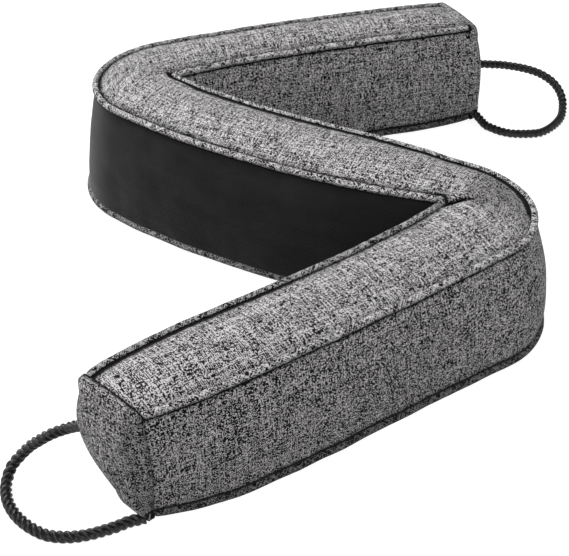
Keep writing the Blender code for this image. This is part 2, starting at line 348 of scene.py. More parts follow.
class ShaderGraph:
    """The node tree of one material, with its Principled shader."""

    def __init__(self, name: str) -> None:
        """Makes an empty material with a Principled shader.

        Args:
            name: The material's name.
        """
        self.material = bpy.data.materials.new(name)
        self.material.use_nodes = True
        self.tree = self.material.node_tree
        self.shader = self.tree.nodes["Principled BSDF"]

    def node(self, kind: str, settings: dict, inputs: dict, output: Union[int, str] = 0) -> Wire:
        """Adds a node.

        Args:
            kind: The node's type.
            settings: Its properties, set first; "stops" gives a ramp's stops.
            inputs: Values or wires by the socket's name or number.
            output: The output wanted.

        Returns:
            That output.
        """
        node = self.tree.nodes.new(kind)
        for name, setting in settings.items():
            if name == "stops":
                self._set_stops(node.color_ramp, setting)
            else:
                setattr(node, name, setting)
        for name, value in inputs.items():
            self.feed(node.inputs[name], value)
        return Wire(self, node.outputs[output])

    def feed(self, socket: bpy.types.NodeSocket, value: object) -> None:
        """Links a wire to a socket, or sets the socket's own value.

        Args:
            socket: The socket.
            value: A wire, a number, or a colour or vector as a tuple.
        """
        if isinstance(value, Wire):
            self.tree.links.new(value.socket, socket)
        elif isinstance(value, tuple) and len(value) == 3 and socket.type == "RGBA":
            socket.default_value = (*value, 1.0)
        else:
            socket.default_value = value

    @staticmethod
    def _set_stops(ramp: bpy.types.ColorRamp, stops: Sequence[tuple[float, Colour]]) -> None:
        """Gives a colour ramp its stops.

        Args:
            ramp: The ramp, with two stops or more.
            stops: The place and colour of each stop.
        """
        while len(ramp.elements) < len(stops):
            ramp.elements.new(1.0)
        for element, (place, colour) in zip(ramp.elements, stops):
            element.position = place
            element.color = (*colour, 1.0)

    def cloth_map(self) -> tuple[Wire, Wire]:
        """Reads the piece's UV map.

        Returns:
            Its two coordinates, in metres on the cloth.
        """
        uv = self.node("ShaderNodeUVMap", {"uv_map": CLOTH_MAP}, {})
        return (self.node("ShaderNodeSeparateXYZ", {}, {0: uv}, "X"),
                self.node("ShaderNodeSeparateXYZ", {}, {0: uv}, "Y"))

    def vector(self, x: Value, y: Value, z: Value = 0.0) -> Wire:
        """A vector of two or three values."""
        return self.node("ShaderNodeCombineXYZ", {}, {"X": x, "Y": y, "Z": z})

    def chance(self, x: Value, y: Value) -> Wire:
        """A random value for each pair of whole numbers."""
        return self.node("ShaderNodeTexWhiteNoise", {"noise_dimensions": "2D"},
                         {"Vector": self.vector(x, y)}, "Value")

    def drift(self, x: Value, y: Value, scale: float = 1.0, detail: float = 0.0) -> Wire:
        """Smooth noise.

        Args:
            x: First coordinate.
            y: Second coordinate.
            scale: Its scale.
            detail: How many finer layers it has.

        Returns:
            A value about 0.5.
        """
        return self.node("ShaderNodeTexNoise", {"noise_dimensions": "2D"},
                         {"Vector": self.vector(x, y), "Scale": scale, "Detail": detail,
                          "Roughness": 0.55})

    def crevice(self) -> Wire:
        """The painted shade of seams, creases and other shaded places that is stored at each point
        of the mesh.
        """
        return self.node("ShaderNodeAttribute", {"attribute_name": PAINTED_SHADE_ATTRIBUTE}, {}, "Fac")

    def ramp(self, share: Wire, stops: Sequence[tuple[float, Colour]]) -> Wire:
        """A colour from a ramp."""
        return self.node("ShaderNodeValToRGB", {"stops": stops}, {"Fac": share}, "Color")

    def shaded(self, colour: Wire, shade: Wire) -> Wire:
        """A colour times a shade, which is 1 where the colour stays as it is."""
        return self.node("ShaderNodeMix", {"data_type": "RGBA", "blend_type": "MULTIPLY"},
                         {0: 1.0, 6: colour, 7: self.vector(shade, shade, shade)}, 2)

    def bump(self, height: Wire, distance: float) -> Wire:
        """A normal from a height, of which 1 is this distance in metres."""
        return self.node("ShaderNodeBump", {},
                         {"Height": height, "Distance": distance, "Strength": 1.0})

    def finish(self, **inputs: object) -> bpy.types.Material:
        """Sets the shader's sockets.

        Args:
            inputs: Values or wires by the socket's name, with _ for a space.

        Returns:
            The material.
        """
        for name, value in inputs.items():
            self.feed(self.shader.inputs[name.replace("_", " ")], value)
        return self.material


# --- finishes -----------------------------------------------------------------------------------


@dataclass(frozen=True)
class HeatherCloth:
    """A plain weave of mottled light and dark yarns with slubs."""

    name: str
    dark: Colour = (0.004, 0.004, 0.0045)
    middle: Colour = (0.105, 0.103, 0.107)
    light: Colour = (0.920, 0.900, 0.915)
    stops: tuple[float, float, float] = (0.43, 0.54, 0.64)
    lift: float = 0.0
    contrast: float = 1.0
    yarn: float = 0.00056
    wander: float = 1.8
    mottle: float = 0.42
    speckle: float = 1.20
    slub_light: float = 0.42
    thin_dark: float = 0.13
    ground: float = 0.458
    # How much darker upright cloth is made: painted shade, for the lesser light on the sides.
    upright_dark: float = 0.118
    relief: float = 0.00034

    def material(self) -> bpy.types.Material:
        """Builds the material.

        Returns:
            The material.
        """
        g = ShaderGraph(self.name)
        u, v = g.cloth_map()
        drift = self.wander * (g.drift(u, v, 60.0, 1.0) - 0.5)
        warp_run, weft_run = u / self.yarn + drift, v / self.yarn - drift
        warp_no, weft_no = warp_run.whole(), weft_run.whole()
        over = (warp_no + weft_no).odd()
        upright = u.rise(SIDE_CLOTH - 3.0, SIDE_CLOTH - 1.0)
        warp_slub = g.drift(warp_run * 0.030, weft_no * 7.9 + 57.0)
        weft_slub = g.drift(weft_run * 0.034, warp_no * 9.1 + 93.0)
        slub = (warp_slub.rise(0.62, 0.68) * (0.35 + 0.65 * over)
                + weft_slub.rise(0.61, 0.67) * (1.0 - 0.5 * over)).limited()
        thin = (0.41 - warp_slub).rise(0.0, 0.06) + (0.40 - weft_slub).rise(0.0, 0.06)
        speck = g.chance(warp_no, weft_no)
        grain = self._grain(g, (u, v), (warp_run, weft_run), over, upright, speck)
        # Upright cloth is darkened here with painted shade.
        tone = (grain * (1.0 - 0.5 * slub) * self.contrast + slub * self.slub_light
                - thin * self.thin_dark + self.ground - self.upright_dark * upright
                + self.lift).limited()
        low, half_way, high = self.stops
        colour = g.ramp(tone, ((0.0, self.dark), (low, self.dark), (half_way, self.middle),
                               (high, self.light), (1.0, self.light)))
        from_warp, from_weft = warp_run.part() - 0.5, weft_run.part() - 0.5
        across = (from_weft * over + from_warp * (1.0 - over)).size()
        along = (from_warp * over + from_weft * (1.0 - over)).size()
        rounded = (1.0 - across * across * 3.4).limited()
        height = rounded * (1.0 - along * along * 1.4) * (0.72 + 0.40 * speck) + 0.45 * slub
        return g.finish(Base_Color=g.shaded(colour, self._seam_shade(g, (u, v), rounded)),
                        Roughness=0.95, Sheen_Weight=0.05, Sheen_Roughness=0.40,
                        Specular_IOR_Level=0.12, Normal=g.bump(height, self.relief))

    def _grain(self, g: ShaderGraph, place: tuple[Wire, Wire], runs: tuple[Wire, Wire],
               over: Wire, upright: Wire, speck: Wire) -> Wire:
        """How much lighter or darker each yarn is than the cloth as a whole; on upright cloth the
        speckle and cloud are stronger, as painted light and shade for the grazing light on the
        sides.

        Args:
            g: The material in the making.
            place: The cloth's two coordinates, in metres.
            runs: The same in yarns.
            over: 1 where the warp lies on top.
            upright: 1 on upright cloth.
            speck: A random value for each crossing.

        Returns:
            The difference, about -0.5 to 0.5.
        """
        warp_run, weft_run = runs
        warp_no, weft_no = warp_run.whole(), weft_run.whole()
        warp_tone = g.drift(warp_run * 0.16, weft_no * 13.7)
        weft_tone = g.drift(weft_run * 0.11, warp_no * 17.3 + 311.0)
        tone = weft_tone.to(warp_tone, over * (0.65 + 0.35 * upright))
        cloud = g.drift(*place, 46.0, 3.0) - 0.5
        hatch = warp_no.odd() * (0.30 - 0.14 * upright) + weft_no.odd() * 0.12 * upright - 0.14
        return ((tone - 0.5) * self.mottle + (speck - 0.5) * (self.speckle + 0.46 * upright)
                + hatch + cloud * (0.10 + 0.12 * upright))

    @staticmethod
    def _seam_shade(g: ShaderGraph, place: tuple[Wire, Wire], rounded: Wire) -> Wire:
        """How painted shade darkens the cloth along seams, in creases and other shaded places, and
        in the gaps between yarns.

        Args:
            g: The material in the making.
            place: The cloth's two coordinates, in metres.
            rounded: How high the yarn stands, 1 at its middle.

        Returns:
            The shade, 1 where the cloth stays as it is.
        """
        ragged = g.drift(*place, 900.0, 2.0) - 0.5
        mark = g.crevice()
        seam = (mark + ragged * 0.65).rise(0.36, 0.58)
        # Painted shade: black on seams and creases, softer round them, and in the gaps between
        # yarns.
        return (1.0 - 0.985 * seam) * (1.0 - 1.3 * mark).at_least(0.68) * (0.60 + 0.40 * rounded)


@dataclass(frozen=True)
class LoopPile:
    """A brushed knit of short black loops that catches light along its edges."""

    name: str
    loop: float = 0.0011
    base: Colour = (0.0055, 0.0055, 0.0060)
    raised: Colour = (0.025, 0.025, 0.0255)

    def material(self) -> bpy.types.Material:
        """Builds the material.

        Returns:
            The material.
        """
        g = ShaderGraph(self.name)
        u, v = g.cloth_map()
        nap = g.drift(u, v, 900.0, 2.0)
        brushed = g.drift(u * 26.0, v * 60.0, 1.0, 3.0)
        rib = 0.5 + 0.5 * (v * (2 * math.pi / self.loop)
                           + 2.4 * g.drift(u, v, 240.0, 1.0)).cosine()
        # Painted shade darkens the pile along its edges.
        share = (0.42 * nap + 0.42 * brushed + 0.16 * rib) * (1.0 - 0.8 * g.crevice())
        colour = g.ramp(share, ((0.25, self.base), (0.70, self.raised)))
        height = 0.65 * nap + 0.35 * rib
        return g.finish(Base_Color=colour, Roughness=0.95, Sheen_Weight=0.55,
                        Sheen_Roughness=0.42, Sheen_Tint=(0.55, 0.55, 0.56),
                        Specular_IOR_Level=0.12, Normal=g.bump(height, 0.00030))


@dataclass(frozen=True)
class TwistedCord:
    """Black, slightly shiny yarns laid into strands."""

    name: str
    dark: Colour = (0.0006, 0.0006, 0.0007)
    worn: Colour = (0.0060, 0.0060, 0.0064)

    def material(self) -> bpy.types.Material:
        """Builds the material.

        Returns:
            The material.
        """
        g = ShaderGraph(self.name)
        u, v = g.cloth_map()
        yarns = 0.5 + 0.5 * (v * (2 * math.pi * 9.0) + u * 900.0).cosine()
        fray = g.drift(u * 1000.0, v * 40.0, 1.0, 2.0)
        colour = g.ramp(0.5 * yarns + 0.5 * fray, ((0.2, self.dark), (0.85, self.worn)))
        # Painted shade in the valleys between strands.
        colour = g.shaded(colour, 1.0 - 0.85 * g.crevice())
        return g.finish(Base_Color=colour, Roughness=0.30 + 0.18 * fray,
                        Specular_IOR_Level=0.42, Sheen_Weight=0.0,
                        Normal=g.bump(yarns * 0.7 + fray * 0.3, 0.00012))


@dataclass(frozen=True)
class PaleFloor:
    """A plain pale studio floor, lit evenly from within as well, so that shadows stay faint."""

    name: str
    colour: Colour = (0.30, 0.30, 0.30)
    glow: float = 0.90

    def material(self) -> bpy.types.Material:
        """Builds the material.

        Returns:
            The material.
        """
        material = ShaderGraph(self.name).finish(
            Base_Color=self.colour, Roughness=0.9, Specular_IOR_Level=0.1,
            Emission_Color=(1.0, 1.0, 1.0), Emission_Strength=self.glow)
        material.cycles.emission_sampling = "NONE"
        return material


# --- helpers for shapes -------------------------------------------------------------------------


def smooth(value: Array) -> Array:
    """Smooth step from 0 at 0 to 1 at 1."""
    value = np.clip(value, 0.0, 1.0)
    return value * value * (3.0 - 2.0 * value)


def mix(first: Array, second: Array, share: Array) -> Array:
    """A value between two others."""
    return first + (second - first) * share


def column(values: Array) -> Array:
    """An array of one value a ring, ready to spread over the points of a section."""
    return np.asarray(values, float).reshape(-1, 1)


def faded(off: Array, width: Union[float, Array]) -> Array:
    """1 at a distance of 0, falling evenly to 0 at this width."""
    return np.clip(1.0 - off / width, 0.0, 1.0)


def summed(steps: Array, axis: int = 0) -> Array:
    """What steps along an axis add up to before each of them, and after the last."""
    return np.insert(np.cumsum(steps, axis=axis), 0, 0.0, axis=axis)


def walked(points: Array, axis: int = 0) -> Array:
    """Length walked along an axis of an array of points, up to each of them."""
    return summed(np.linalg.norm(np.diff(points, axis=axis), axis=-1), axis)


def picked(sections: dict, at: Union[int, slice]) -> dict:
    """One section out of arrays of them, or a slice of them."""
    return {name: picked(values, at) if isinstance(values, dict) else values[at]
            for name, values in sections.items()}


def drawn_in(up: Array, share: Array) -> Array:
    """Heights drawn in to this share of their distance from half the strip's height."""
    return HEIGHT / 2 + (up - HEIGHT / 2) * share


def blurred(values: Array, reach: int) -> Array:
    """Evens out an array of one value a ring.

    Args:
        values: The array.
        reach: Half the width of the window, in rings.

    Returns:
        The evened array, its ends kept.
    """
    window = np.hanning(2 * reach + 3)[1:-1]
    padded = np.pad(values, reach, mode="reflect", reflect_type="odd")
    return np.convolve(padded, window / window.sum(), mode="valid")


@dataclass(frozen=True)
class Waves:
    """A gentle random relief: a seeded sum of waves of about one length."""

    length: float
    seed: int
    stretch: float = 1.0
    count: int = 9

    def at(self, u: Array, v: Array) -> Array:
        """The relief at places on the cloth.

        Args:
            u: How far along the cloth.
            v: How far across it.

        Returns:
            The height, about -1 to 1.
        """
        rng = np.random.default_rng(self.seed)
        total = 0.0
        for _ in range(self.count):
            turn = rng.uniform(0.0, math.pi)
            pace = 2 * math.pi / (self.length * rng.uniform(0.7, 1.5))
            total = total + np.sin(pace * (np.cos(turn) * u + np.sin(turn) * v * self.stretch)
                                   + rng.uniform(0.0, 2 * math.pi))
        return total * (1.4 / self.count)


@dataclass(frozen=True)
class Puckers:
    """Small gathers along a seam, where the stitches pull the cloth in.

    They reach their full depth one stitch off the seam, and fade away over the reach.
    """

    length: float
    seed: int
    reach: float = 0.008
    stitch: float = 0.002

    def at(self, run: Array) -> Array:
        """How deep the gathers are along a seam.

        Args:
            run: Length along the seam.

        Returns:
            The depth, 0 to 1.
        """
        warp = Waves(self.length * 5, self.seed).at(run, 0.0 * run)
        strength = 0.55 + 0.45 * Waves(self.length * 7, self.seed + 1).at(run, 0.0 * run)
        ridge = 0.5 + 0.5 * np.sin(2 * math.pi * run / self.length + 2.2 * warp)
        return np.clip(strength, 0.1, 1.0) * ridge ** 3

    def beside(self, run: Array, off: Array) -> Array:
        """How deep the gathers are this far off a seam."""
        return self.at(run) * smooth(off / self.stitch) * np.exp(-off / self.reach)


class Skin:
    """A surface in the making: points, faces, cloth coordinates and the painted shade of its seams
    and other shaded places.
    """

    def __init__(self, name: str) -> None:
        """Starts an empty surface.

        Args:
            name: The name that its object gets.
        """
        self.name = name
        self.points: list[Array] = []
        self.faces: list[tuple[int, ...]] = []
        self.corners: list[tuple[float, float]] = []
        self.crevice: list[Array] = []
        self.count = 0

    def add_points(self, points: Array, crevice: Array) -> int:
        """Adds points, (n, 3), with the shade of each.

        Args:
            points: The points.
            crevice: Their shade, 0 to 1.

        Returns:
            The number of the first of them.
        """
        first = self.count
        self.points.append(points.reshape(-1, 3))
        self.crevice.append(np.broadcast_to(crevice, points.shape[:-1]).reshape(-1))
        self.count += len(self.points[-1])
        return first

    def add_faces(self, faces: Array, uv: Array) -> None:
        """Adds faces, (n, k) point numbers, with a cloth coordinate for each corner, (n, k, 2)."""
        self.faces += [tuple(face) for face in faces.tolist()]
        self.corners += [tuple(corner) for corner in uv.reshape(-1, 2).tolist()]

    def add_grid(self, points: Array, uv: Array, crevice: Array) -> Array:
        """Adds rings of points and the quads between them.

        Args:
            points: (rings, points, 3).
            uv: (rings - 1, quads, 4, 2) or, for one value a point, (rings, points, 2).
            crevice: Shade of each point.

        Returns:
            The numbers of the points, (rings, points).
        """
        rings, across = points.shape[:2]
        first = self.add_points(points, crevice)
        index = first + np.arange(rings * across).reshape(rings, across)
        after = np.roll(index, -1, axis=1)
        quads = np.stack([index[:-1], after[:-1], after[1:], index[1:]], axis=-1)
        if uv.ndim == 3:
            beside = np.roll(uv, -1, axis=1)
            uv = np.stack([uv[:-1], beside[:-1], beside[1:], uv[1:]], axis=2)
        self.add_faces(quads.reshape(-1, 4), uv.reshape(-1, 4, 2))
        return index

    def add_fan(self, ring: Array, centre: Array, uv: Array, middle_uv: Array) -> None:
        """Closes a ring of points with triangles round a centre.

        Args:
            ring: Numbers of the ring's points.
            centre: The middle point.
            uv: Cloth coordinates of the ring, (points, 2).
            middle_uv: Those of the middle.
        """
        middle = self.add_points(centre.reshape(1, 3), np.zeros(1))
        after = np.roll(ring, -1)
        faces = np.stack([ring, after, np.full(len(ring), middle)], axis=-1)
        corners = np.stack([uv, np.roll(uv, -1, axis=0),
                            np.broadcast_to(middle_uv, uv.shape)], axis=1)
        self.add_faces(faces, corners)

    def add_tube(self, points: Array, flat: Array, crevice: Array, middles: Array) -> None:
        """Adds a round tube with closed ends.

        Args:
            points: (rings, points, 3).
            flat: Cloth coordinates, (rings, points + 1, 2), the last where the cloth meets.
            crevice: Shade of each point, or of each point of a ring.
            middles: The middle of each ring.
        """
        uv = np.stack([flat[:-1, :-1], flat[:-1, 1:], flat[1:, 1:], flat[1:, :-1]], axis=2)
        index = self.add_grid(points, uv, np.broadcast_to(crevice, points.shape[:2]))
        for at in (0, -1):
            self.add_fan(index[at], middles[at], flat[at, :-1], flat[at, 0])

    def add_band(self, ring: Array, points: Array, flat: Array, inwards: bool) -> Array:
        """Adds a ring inside another, dark with painted shade, and the quads between them.

        Args:
            ring: Numbers of the ring's points.
            points: The new ring's points.
            flat: Cloth coordinates of both rings, (points, 2).
            inwards: Whether the quads face the other way.

        Returns:
            The numbers of the new ring's points.
        """
        inner = self.add_points(points, np.ones(len(points))) + np.arange(len(points))
        first, last = (inner, ring) if inwards else (ring, inner)
        after = np.roll(flat, -1, axis=0)
        self.add_faces(np.stack([first, np.roll(first, -1), np.roll(last, -1), last], axis=-1),
                       np.stack([flat, after, after, flat], axis=1))
        return inner

    def build(self, material: bpy.types.Material) -> bpy.types.Object:
        """Makes the object.

        Args:
            material: Its finish.

        Returns:
            The object, with its normals pointing out.
        """
        mesh = bpy.data.meshes.new(self.name)
        points = np.concatenate(self.points)
        mesh.from_pydata(points.tolist(), [], self.faces)
        layer = mesh.uv_layers.new(name=CLOTH_MAP)
        layer.data.foreach_set("uv", np.array(self.corners, np.float32).ravel())
        shade = mesh.attributes.new(PAINTED_SHADE_ATTRIBUTE, "FLOAT", "POINT")
        shade.data.foreach_set("value", np.concatenate(self.crevice).astype(np.float32))
        mesh.materials.append(material)
        mesh.validate()
        obj = bpy.data.objects.new(self.name, mesh)
        bpy.context.scene.collection.objects.link(obj)
        if signed_volume(obj) < 0.0:
            mesh.flip_normals()
        mesh.shade_smooth()
        return obj


def signed_volume(obj: bpy.types.Object) -> float:
    """The volume that a mesh holds.

    Args:
        obj: The mesh's object.

    Returns:
        The volume, below 0 where the faces point in.
    """
    mesh = obj.data
    mesh.calc_loop_triangles()
    points = np.empty(len(mesh.vertices) * 3)
    mesh.vertices.foreach_get("co", points)
    corners = np.empty(len(mesh.loop_triangles) * 3, np.int32)
    mesh.loop_triangles.foreach_get("vertices", corners)
    a, b, c = points.reshape(-1, 3)[corners.reshape(-1, 3)].transpose(1, 0, 2)
    return float(np.einsum("ij,ij->i", a, np.cross(b, c)).sum() / 6.0)


def grid_normals(points: Array) -> Array:
    """Normals of a grid that is closed across.

    Args:
        points: The grid, (rings, points, 3).

    Returns:
        A unit normal for each point.
    """
    along = np.gradient(points, axis=0)
    across = (np.roll(points, -1, axis=1) - np.roll(points, 1, axis=1)) / 2
    normals = np.cross(along, across)
    return normals / np.maximum(np.linalg.norm(normals, axis=-1, keepdims=True), 1e-12)


# --- the route ----------------------------------------------------------------------------------


@dataclass
class Rings:
    """Cross-sections along the route, each field an array of one value a ring.

    The stage runs from 0 to 5: a leg, a fold, a leg, a fold and a leg.
    """

    x: Array
    y: Array
    heading: Array
    width: Array
    base_run: Array
    spread: dict[Side, Array]
    swell: dict[Side, Array]
    stage: Array

    @property
    def leg(self) -> Array:
        """The leg that each ring belongs to, 0 to 2, changing half way round a fold."""
        return (self.stage > 1.5).astype(int) + (self.stage > 3.5)

    @property
    def run(self) -> Array:
        """Length along the middle, up to each ring."""
        return summed(np.hypot(np.diff(self.x), np.diff(self.y)))

    @property
    def to_tip(self) -> Array:
        """Distance to the nearer end of the strip."""
        return np.minimum(self.run, self.run[-1] - self.run)

    @property
    def crown(self) -> Array:
        """Rise of the top above its seams, which fades towards the ends."""
        return mix(END_CROWN, CROWN, smooth(self.to_tip / CROWN_RUN))

    def at_end(self, tip: Tip) -> "Rings":
        """The one ring at an end of the strip."""
        at = slice(0, 1) if tip is Tip.NEAR else slice(-1, None)
        return Rings(**picked(vars(self), at))

    def place(self, across: Array, up: Array, back: Union[float, Array] = 0.0) -> Array:
        """Points of the sections.

        Args:
            across: How far to the left, (rings, points).
            up: How high, (rings, points).
            back: How far back along the route.

        Returns:
            The points, (rings, points, 3).
        """
        cos, sin = column(np.cos(self.heading)), column(np.sin(self.heading))
        ahead = column(self.base_run) * (1.0 - up / HEIGHT) - back
        return np.stack([column(self.x) - sin * across + cos * ahead,
                         column(self.y) + cos * across + sin * ahead,
                         up + 0.0 * across], axis=-1)

    def middle(self, back: float) -> Array:
        """The point half way up the middle of the first section, this far back."""
        return self.place(np.zeros((1, 1)), np.full((1, 1), HEIGHT / 2), back)[0, 0]


@dataclass(frozen=True)
class Route:
    """The plan route of the strip: three legs and two folds."""

    near: End = NEAR_END
    far: End = FAR_END
    legs: tuple[Leg, Leg, Leg] = (LEG_A, LEG_B, LEG_C)
    folds: tuple[Fold, Fold] = (RIGHT_FOLD, LEFT_FOLD)

    @staticmethod
    def _towards(half_way: float, ends: tuple[float, float], share: Array,
                 power: Union[int, Array]) -> Array:
        """A value that turns from that of a leg's middle into those of its ends.

        Args:
            half_way: The value at the middle.
            ends: Those at the two ends.
            share: Shares of the way along the leg.
            power: How late it turns.

        Returns:
            The value at each share.
        """
        end = np.where(share < 0.5, ends[0], ends[1])
        return mix(half_way, end, np.abs(2 * share - 1) ** power)

    def leg_part(self, leg: Leg, first: dict, last: dict) -> dict:
        """Sections of a leg between two others.

        Args:
            leg: The leg.
            first: The section before it.
            last: The section after it.

        Returns:
            The sections, as arrays.
        """
        share = np.arange(1, LEG_RINGS) / LEG_RINGS
        square, cube = share ** 2, share ** 3
        length = math.hypot(last["x"] - first["x"], last["y"] - first["y"])
        place, slope = [], []
        for axis, turned in (("x", math.cos), ("y", math.sin)):
            begin, end = turned(first["heading"]) * length, turned(last["heading"]) * length
            place.append(first[axis] * (2 * cube - 3 * square + 1)
                         + begin * (cube - 2 * square + share)
                         + last[axis] * (3 * square - 2 * cube) + end * (cube - square))
            slope.append(first[axis] * (6 * square - 6 * share)
                         + begin * (3 * square - 4 * share + 1)
                         + last[axis] * (6 * share - 6 * square) + end * (3 * square - 2 * share))
        fade = 1 - smooth(share / SLANT_REACH), 1 - smooth((1 - share) / SLANT_REACH)
        slant = first.get("slant", 0.0) * fade[0] + last.get("slant", 0.0) * fade[1]
        spread, swell = {}, {}
        for side in Side:
            ends = first["spread"][side], last["spread"][side]
            spread[side] = self._towards(leg.spread(side), ends, share,
                                         SOON if max(ends) > 0 else LATE)
            ends = first["swell"][side], last["swell"][side]
            swell[side] = self._towards(SIDE_CROWN, ends, share, LATE)
        begins, stops = (LATE if "slant" in section else EVENLY for section in (first, last))
        return {"x": place[0], "y": place[1],
                "heading": np.arctan2(slope[1], slope[0]) + np.radians(slant),
                "width": self._towards(leg.width, (first["width"], last["width"]), share,
                                       np.where(share < 0.5, begins, stops)),
                "base_run": first["base_run"] * fade[0] + last["base_run"] * fade[1],
                "spread": spread, "swell": swell}

    def rings(self) -> Rings:
        """The sections of the whole route, from the near end to the far end.

        Returns:
            The sections, their widths, spreads and swells evened out.
        """
        near, far = self.near.section(), self.far.section()
        right, left = (fold.sections() for fold in self.folds)
        parts = [near,
                 self.leg_part(self.legs[0], near, picked(right, 0)), right,
                 self.leg_part(self.legs[1], picked(right, -1), picked(left, 0)), left,
                 self.leg_part(self.legs[2], picked(left, -1), far), far]
        for end in (near, far):
            end["heading"] += math.radians(end["slant"])

        def joined(name: str, side: Union[Side, None] = None) -> Array:
            """One field of every part, end to end."""
            return np.concatenate([np.atleast_1d(part[name] if side is None
                                                 else part[name][side]) for part in parts])

        counts = [len(np.atleast_1d(part["x"])) for part in parts]
        stage = np.concatenate([np.arange(count) / count + max(at - 1, 0)
                                for at, count in enumerate(counts)])
        return Rings(joined("x"), joined("y"), joined("heading"),
                     blurred(joined("width"), WIDTH_BLUR), joined("base_run"),
                     {side: blurred(joined("spread", side), SIDE_BLUR) for side in Side},
                     {side: blurred(joined("swell", side), SIDE_BLUR) for side in Side}, stage)


# --- cloth pieces -------------------------------------------------------------------------------


@dataclass(frozen=True)
class SeamPull:
    """How the four seams stray from their even lines, shared by all that is sewn into them."""

    stray: float = 0.00045
    length: float = 0.034

    def offset(self, run: Array, side: Side, edge: Edge) -> tuple[Array, Array]:
        """How far a seam strays from its even line.

        Args:
            run: Length along the route.
            side: The seam's side.
            edge: Its edge.

        Returns:
            How far outwards and how far up.
        """
        seed = {(Side.GREY, Edge.TOP): 11, (Side.PILE, Edge.TOP): 23,
                (Side.GREY, Edge.BASE): 37, (Side.PILE, Edge.BASE): 41}[side, edge]
        out = self.stray * Waves(self.length, seed).at(run, 0.0 * run)
        up = 0.6 * self.stray * Waves(self.length * 0.8, seed + 1).at(run, 0.0 * run)
        if edge is Edge.BASE:
            up = 0.0 * run
        return out, up


@dataclass
class StripShape:
    """What every piece of the strip reads: the rings and where the seams run."""

    rings: Rings
    pull: SeamPull

    def seam(self, side: Side, edge: Edge) -> tuple[Array, Array]:
        """Where the middle of a seam's piping runs.

        Args:
            side: The seam's side.
            edge: Its edge.

        Returns:
            Its distance out from the strip's middle and its height, at each ring.
        """
        out, up = self.pull.offset(self.rings.run, side, edge)
        half = self.rings.width / 2 + out
        if edge is Edge.TOP:
            return half, TOP_SEAM + up
        return half + self.rings.spread[side], BASE_SEAM + up

    def top_line(self, side: Side) -> Array:
        """How dark the painted shade line is between a top seam's piping and the top cloth, where
        shade falls in the groove.

        Args:
            side: The seam's side.

        Returns:
            The shade at each ring, 0 to 1 and beyond where the line widens.
        """
        stage = self.rings.stage
        if side is Side.PILE:
            beside = smooth((stage - 1.8) / 0.2) * smooth((3.4 - stage) / 0.3)
            thinner = smooth((stage - 0.3) / 0.4) * smooth((2.0 - stage) / 0.2)
            return 1.10 - 0.40 * beside - 0.30 * smooth((stage - 3.0) / 0.4) - 0.36 * thinner
        opened = mix(0.26, 1.30, smooth((stage - 1.20) / 0.16))
        return opened - 0.66 * smooth((stage - 3.3) / 0.4)

    def under_line(self) -> Array:
        """How wide the painted shade line is below the top piping, down the grey side.

        Returns:
            The width at each ring.
        """
        stage = self.rings.stage
        wide = mix(0.0036, 0.0028, smooth((stage - 3.6) / 0.4))
        return wide - 0.0010 * smooth((stage - 0.6) / 0.5) * smooth((2.0 - stage) / 0.3)

    @staticmethod
    def fullness(side: Side, stage: Union[float, Array], share: Array) -> Array:
        """How full a side is this share of the way down; it sags by the near end's pile."""
        sag = 1.0 + (0.36 * smooth(1.0 - stage / 0.7) if side is Side.PILE else 0.0)
        return np.sin(math.pi * share ** sag) ** 0.70

    def side_curve(self, side: Side, share: Array, inset: float) -> tuple[Array, Array]:
        """Points down a side between its two lines of piping.

        Args:
            side: Which side.
            share: Shares of the way down, (points,).
            inset: How far inside the outer face.

        Returns:
            Distances out and heights, (rings, points).
        """
        top_out, top_up = self.seam(side, Edge.TOP)
        base_out, base_up = self.seam(side, Edge.BASE)
        swell = column(self.rings.swell[side]) * self.fullness(side, column(self.rings.stage),
                                                               share)
        out = mix(column(top_out), column(base_out), share) + swell - inset
        high = column(top_up) - SEAT * 0.94
        low = column(base_up) + SEAT * 0.94
        return out, mix(high, low, share)


@dataclass(frozen=True)
class Crease:
    """A crease that a fold pinches into the top, along a line in plan."""

    line: tuple[tuple[float, float], ...]
    depth: float
    puff: float
    width: float
    puff_reach: float = 0.0045
    shade_reach: float = 0.0028
    fade: float = 0.003

    def at(self, x: Array, y: Array) -> tuple[Array, Array]:
        """What the crease does to the cloth.

        Args:
            x: Places across the floor.
            y: Places along the floor.

        Returns:
            How far the cloth is pushed out, and the painted shade in the crease.
        """
        corners = np.array(self.line)
        steps = np.hypot(*np.diff(corners, axis=0).T)
        starts = summed(steps)
        off, beside, gone = np.full(x.shape, 9.0), np.zeros(x.shape), np.zeros(x.shape)
        for first, second, step, start in zip(corners, corners[1:], steps, starts):
            ahead = (second - first) / step
            on = np.clip((x - first[0]) * ahead[0] + (y - first[1]) * ahead[1], 0.0, step)
            apart = x - first[0] - ahead[0] * on, y - first[1] - ahead[1] * on
            distance = np.hypot(*apart)
            nearer = distance < off
            off = np.where(nearer, distance, off)
            beside = np.where(nearer, ahead[0] * apart[1] - ahead[1] * apart[0], beside)
            gone = np.where(nearer, (start + on) / starts[-1], gone)
        strength = 1.0 - 0.75 * gone ** 1.6
        fades = np.exp(-np.maximum(off - np.abs(beside), 0.0) / self.fade)
        dip = np.exp(-(off / self.width) ** 1.4)
        above = np.where(beside > 0.0, 1.0, 0.35)
        swollen = above * off / self.puff_reach * np.exp(1.0 - off / self.puff_reach)
        push = (self.puff * swollen - self.depth * dip) * strength * fades
        return push, strength * np.clip(1.30 - off / self.shade_reach, 0.0, 1.0)


